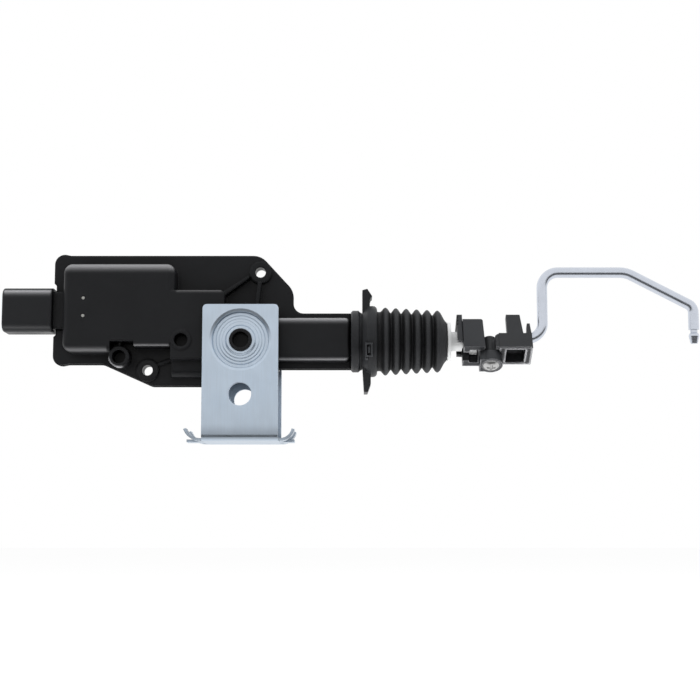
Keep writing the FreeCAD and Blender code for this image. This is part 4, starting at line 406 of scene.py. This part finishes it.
def curved_blocks(name, blocks, height):
    """Blocks that follow a ring about the plunger's axis: (x low, x high, angle low, angle high,
    radius low, radius high), in mm and in degrees below the middle of the front."""
    mesh = bpy.data.meshes.new(name)
    shape = bmesh.new()
    parts = 6
    for x_low, x_high, angle_low, angle_high, r_low, r_high in blocks:
        rows = []
        for step in range(parts + 1):
            angle = math.radians(angle_low + (angle_high - angle_low) * step / parts)
            row = []
            for along, radius in ((x_low, r_low), (x_high, r_low), (x_high, r_high), (x_low, r_high)):
                ahead = -radius * MM * math.cos(angle)
                up = height * MM - radius * MM * math.sin(angle)
                row.append(shape.verts.new((along * MM, ahead, up)))
            rows.append(row)
        for step in range(parts):
            for corner in range(4):
                beside = (corner + 1) % 4
                shape.faces.new((rows[step][corner], rows[step][beside],
                                 rows[step + 1][beside], rows[step + 1][corner]))
        shape.faces.new(rows[0])
        shape.faces.new(list(reversed(rows[-1])))
    bmesh.ops.recalc_face_normals(shape, faces=shape.faces)
    shape.to_mesh(mesh)
    shape.free()
    piece = bpy.data.objects.new(name, mesh)
    bpy.context.scene.collection.objects.link(piece)
    bevel = piece.modifiers.new("bevel", "BEVEL")
    bevel.width = 0.00012
    bevel.segments = 2
    return piece


# Snap on the front of the retainer: a frame around a window, a dot and a slit below it
snap = curved_blocks("retainer_snap", [
    (54.9, 58.1, 9.0, 11.5, 14.2, 16.7),
    (54.9, 58.1, 28.5, 31.0, 14.2, 16.7),
    (54.9, 55.6, 11.5, 28.5, 14.2, 16.7),
    (57.4, 58.1, 11.5, 28.5, 14.2, 16.7),
    (54.9, 56.0, 33.0, 37.0, 13.8, 16.4),
    (56.05, 56.95, 15.5, 24.5, 14.2, 16.45),
], PLUNGER_HEIGHT)
snap.data.materials.append(MATERIALS["snap_plastic"])
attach(snap, "housing")

# Link: a filled corner between the clip's eye and its block, and a domed head on its screw
LINK_ROLL = math.radians(-30.0)
PIVOT = 110.9


def in_link(x, y, z):
    """A point in mm, drawn upright about the plunger's axis, turned with the link."""
    return (x * MM,
            (y * math.cos(LINK_ROLL) - z * math.sin(LINK_ROLL)) * MM,
            (PLUNGER_HEIGHT + y * math.sin(LINK_ROLL) + z * math.cos(LINK_ROLL)) * MM)


def in_scene(name, shape, slot, follow):
    """Ends a mesh and hangs it, with its material, on a CAD body."""
    bmesh.ops.recalc_face_normals(shape, faces=shape.faces)
    mesh = bpy.data.meshes.new(name)
    shape.to_mesh(mesh)
    shape.free()
    piece = bpy.data.objects.new(name, mesh)
    bpy.context.scene.collection.objects.link(piece)
    piece.data.materials.append(MATERIALS[slot])
    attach(piece, follow)
    return piece


def link_prism(name, outline, y_low, y_high, slot, follow):
    """A prism of the link with an (x, z) outline."""
    shape = bmesh.new()
    ends = []
    for depth in (y_low, y_high):
        ends.append([shape.verts.new(in_link(x, depth, z)) for x, z in outline])
    shape.faces.new(ends[0])
    shape.faces.new(list(reversed(ends[1])))
    for index in range(len(outline)):
        beside = (index + 1) % len(outline)
        shape.faces.new((ends[0][index], ends[0][beside], ends[1][beside], ends[1][index]))
    piece = in_scene(name, shape, slot, follow)
    bevel = piece.modifiers.new("bevel", "BEVEL")
    bevel.width = 0.0002
    bevel.segments = 2
    return piece


link_prism("clip_shoulder", [(112.9, -7.9), (114.8, -7.9), (114.8, -0.15), (113.9, -0.4), (112.9, -1.3)],
           -6.2, 2.4, "clip_grey", "link")

# Screw head: a low dome with a cross recess, made on rings and spokes
HEAD_RADIUS = 3.45
HEAD_LOW = -13.45
HEAD_RISE = 1.5
HEAD_RINGS = 16
HEAD_SPOKES = 64
HEAD_ROUNDING = 2.6
HEAD_SKIRT = 0.6
CROSS_DEPTH = 0.75
CROSS_HALF_WIDTH = 0.55
CROSS_HALF_LENGTH = 2.1


def recess(x, y):
    """Depth share of the cross at a place on the head."""
    arms = []
    for along, across in ((x, y), (y, x)):
        inside = max(0.0, min(1.0, (CROSS_HALF_WIDTH - abs(across)) / 0.25))
        length = max(0.0, min(1.0, (CROSS_HALF_LENGTH - abs(along)) / 0.5))
        arms.append(inside * length)
    return max(arms)


shape = bmesh.new()
rings = []
for ring in range(1, HEAD_RINGS + 1):
    radius = HEAD_RADIUS * ring / HEAD_RINGS
    row = []
    for spoke in range(HEAD_SPOKES):
        angle = 2 * math.pi * spoke / HEAD_SPOKES
        x, y = radius * math.cos(angle), radius * math.sin(angle)
        rise = HEAD_RISE * (1 - (radius / HEAD_RADIUS) ** HEAD_ROUNDING) - CROSS_DEPTH * recess(x, y)
        row.append(shape.verts.new(in_link(PIVOT + x, y, HEAD_LOW - rise)))
    rings.append(row)
middle = shape.verts.new(in_link(PIVOT, 0.0, HEAD_LOW - HEAD_RISE + CROSS_DEPTH))
base_ring = []
for spoke in range(HEAD_SPOKES):
    angle = 2 * math.pi * spoke / HEAD_SPOKES
    x, y = HEAD_RADIUS * math.cos(angle), HEAD_RADIUS * math.sin(angle)
    base_ring.append(shape.verts.new(in_link(PIVOT + x, y, HEAD_LOW + HEAD_SKIRT)))
rings.append(base_ring)
for spoke in range(HEAD_SPOKES):
    beside = (spoke + 1) % HEAD_SPOKES
    shape.faces.new((middle, rings[0][spoke], rings[0][beside]))
    for inner, outer in zip(rings, rings[1:]):
        shape.faces.new((inner[spoke], outer[spoke], outer[beside], inner[beside]))
shape.faces.new(base_ring)
for face in shape.faces:
    face.smooth = True
in_scene("screw_dome", shape, "screw_steel", "link")

# Dark lip that closes the narrow slit between the tube's collar and the retainer
LIP_OUTLINE = [(52.4, 10.4), (53.3, 10.4), (53.3, 13.0), (52.4, 13.0)]
lip = turned("retainer_lip", LIP_OUTLINE, PLUNGER_HEIGHT, 96)
lip.data.materials.append(MATERIALS["black_plastic"])
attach(lip, "housing")

# Floor, well below the part because the photograph looks up at it a little
FLOOR_HEIGHT = -0.15
FLOOR_HALF = 6.0
FLOOR_GLOW = 0.69
# In reflections the floor is bright under the part and dim ahead of it, as in a studio.
DIM = 0.12
floor_mesh = bpy.data.meshes.new("floor")
shape = bmesh.new()
corners = []
for x, y in ((-1, -1), (1, -1), (1, 1), (-1, 1)):
    corners.append(shape.verts.new((x * FLOOR_HALF, y * FLOOR_HALF, FLOOR_HEIGHT)))
shape.faces.new(corners)
shape.to_mesh(floor_mesh)
shape.free()
floor = bpy.data.objects.new("floor", floor_mesh)
bpy.context.scene.collection.objects.link(floor)
floor_material = bpy.data.materials.new("floor")
floor_material.use_nodes = True
nodes = Nodes(floor_material.node_tree)
path = nodes.add("ShaderNodeLightPath")
place = nodes.add("ShaderNodeTexCoord").outputs["Object"]
mottle = nodes.noise(place, 3.0, 2.0)
pale = nodes.mix(mottle, (0.84, 0.84, 0.84, 1.0), (0.86, 0.86, 0.86, 1.0))
matt = nodes.add("ShaderNodeBsdfDiffuse", {"Color": pale})
seen = nodes.math("MULTIPLY", path.outputs["Is Camera Ray"], FLOOR_GLOW)
glow = nodes.add("ShaderNodeEmission", {"Color": WHITE, "Strength": seen})
seen_floor = nodes.add("ShaderNodeAddShader", {0: matt.outputs[0], 1: glow.outputs[0]}).outputs[0]
ahead = nodes.add("ShaderNodeSeparateXYZ", {0: place}).outputs["Y"]
band = nodes.math("MULTIPLY", nodes.ramp(ahead, -0.1, -0.16), nodes.ramp(ahead, -1.8, -0.9))
level = nodes.math("SUBTRACT", 1.0, nodes.math("MULTIPLY", band, 1.0 - DIM))
mirrored = nodes.add("ShaderNodeEmission", {"Color": WHITE, "Strength": level})
both = nodes.add("ShaderNodeMixShader", {
    0: path.outputs["Is Glossy Ray"], 1: seen_floor, 2: mirrored.outputs[0]})
nodes.add("ShaderNodeOutputMaterial", {"Surface": both.outputs[0]})
floor.data.materials.append(floor_material)

# White surroundings: full white behind the part, dimmer as a light and towards the front
AMBIENT = 0.34
FRONT = 0.94
world = bpy.data.worlds.new("world")
bpy.context.scene.world = world
world.use_nodes = True
nodes = Nodes(world.node_tree)
path = nodes.add("ShaderNodeLightPath")
way = nodes.add("ShaderNodeSeparateXYZ", {0: nodes.add("ShaderNodeTexCoord").outputs["Generated"]})
behind = nodes.ramp(way.outputs["Y"], -0.5, 0.6, FRONT, 1.0)
glossy = nodes.math("MAXIMUM", path.outputs["Is Glossy Ray"], path.outputs["Is Transmission Ray"])
more = nodes.math("MULTIPLY", glossy, nodes.math("SUBTRACT", behind, AMBIENT))
strength = nodes.math("ADD", AMBIENT, more)
strength = nodes.math("MAXIMUM", strength, path.outputs["Is Camera Ray"])
sky = nodes.add("ShaderNodeBackground", {"Color": WHITE, "Strength": strength})
nodes.add("ShaderNodeOutputWorld", {"Surface": sky.outputs[0]})


def soft_light(name, place, aim, wide, high, power):
    """A soft box that points at a place; it lights the part but isn't seen, nor mirrored in metal."""
    data = bpy.data.lights.new(name, "AREA")
    data.shape = "RECTANGLE"
    data.size = wide
    data.size_y = high
    data.energy = power
    lamp = bpy.data.objects.new(name, data)
    lamp.location = place
    lamp.rotation_mode = "QUATERNION"
    lamp.rotation_quaternion = (Vector(aim) - Vector(place)).to_track_quat("-Z", "Y")
    lamp.visible_camera = False
    lamp.visible_glossy = False
    bpy.context.scene.collection.objects.link(lamp)


MIDDLE = (0.048, 0.0, 0.02)
soft_light("light_top", (0.05, -0.12, 0.75), MIDDLE, 1.0, 0.7, 9.0)
soft_light("light_left", (-0.75, -0.06, 0.1), MIDDLE, 0.9, 0.6, 2.5)
soft_light("light_low", (0.05, 0.0, -0.145), (0.05, 0.0, 0.02), 0.5, 0.2, 0.7)
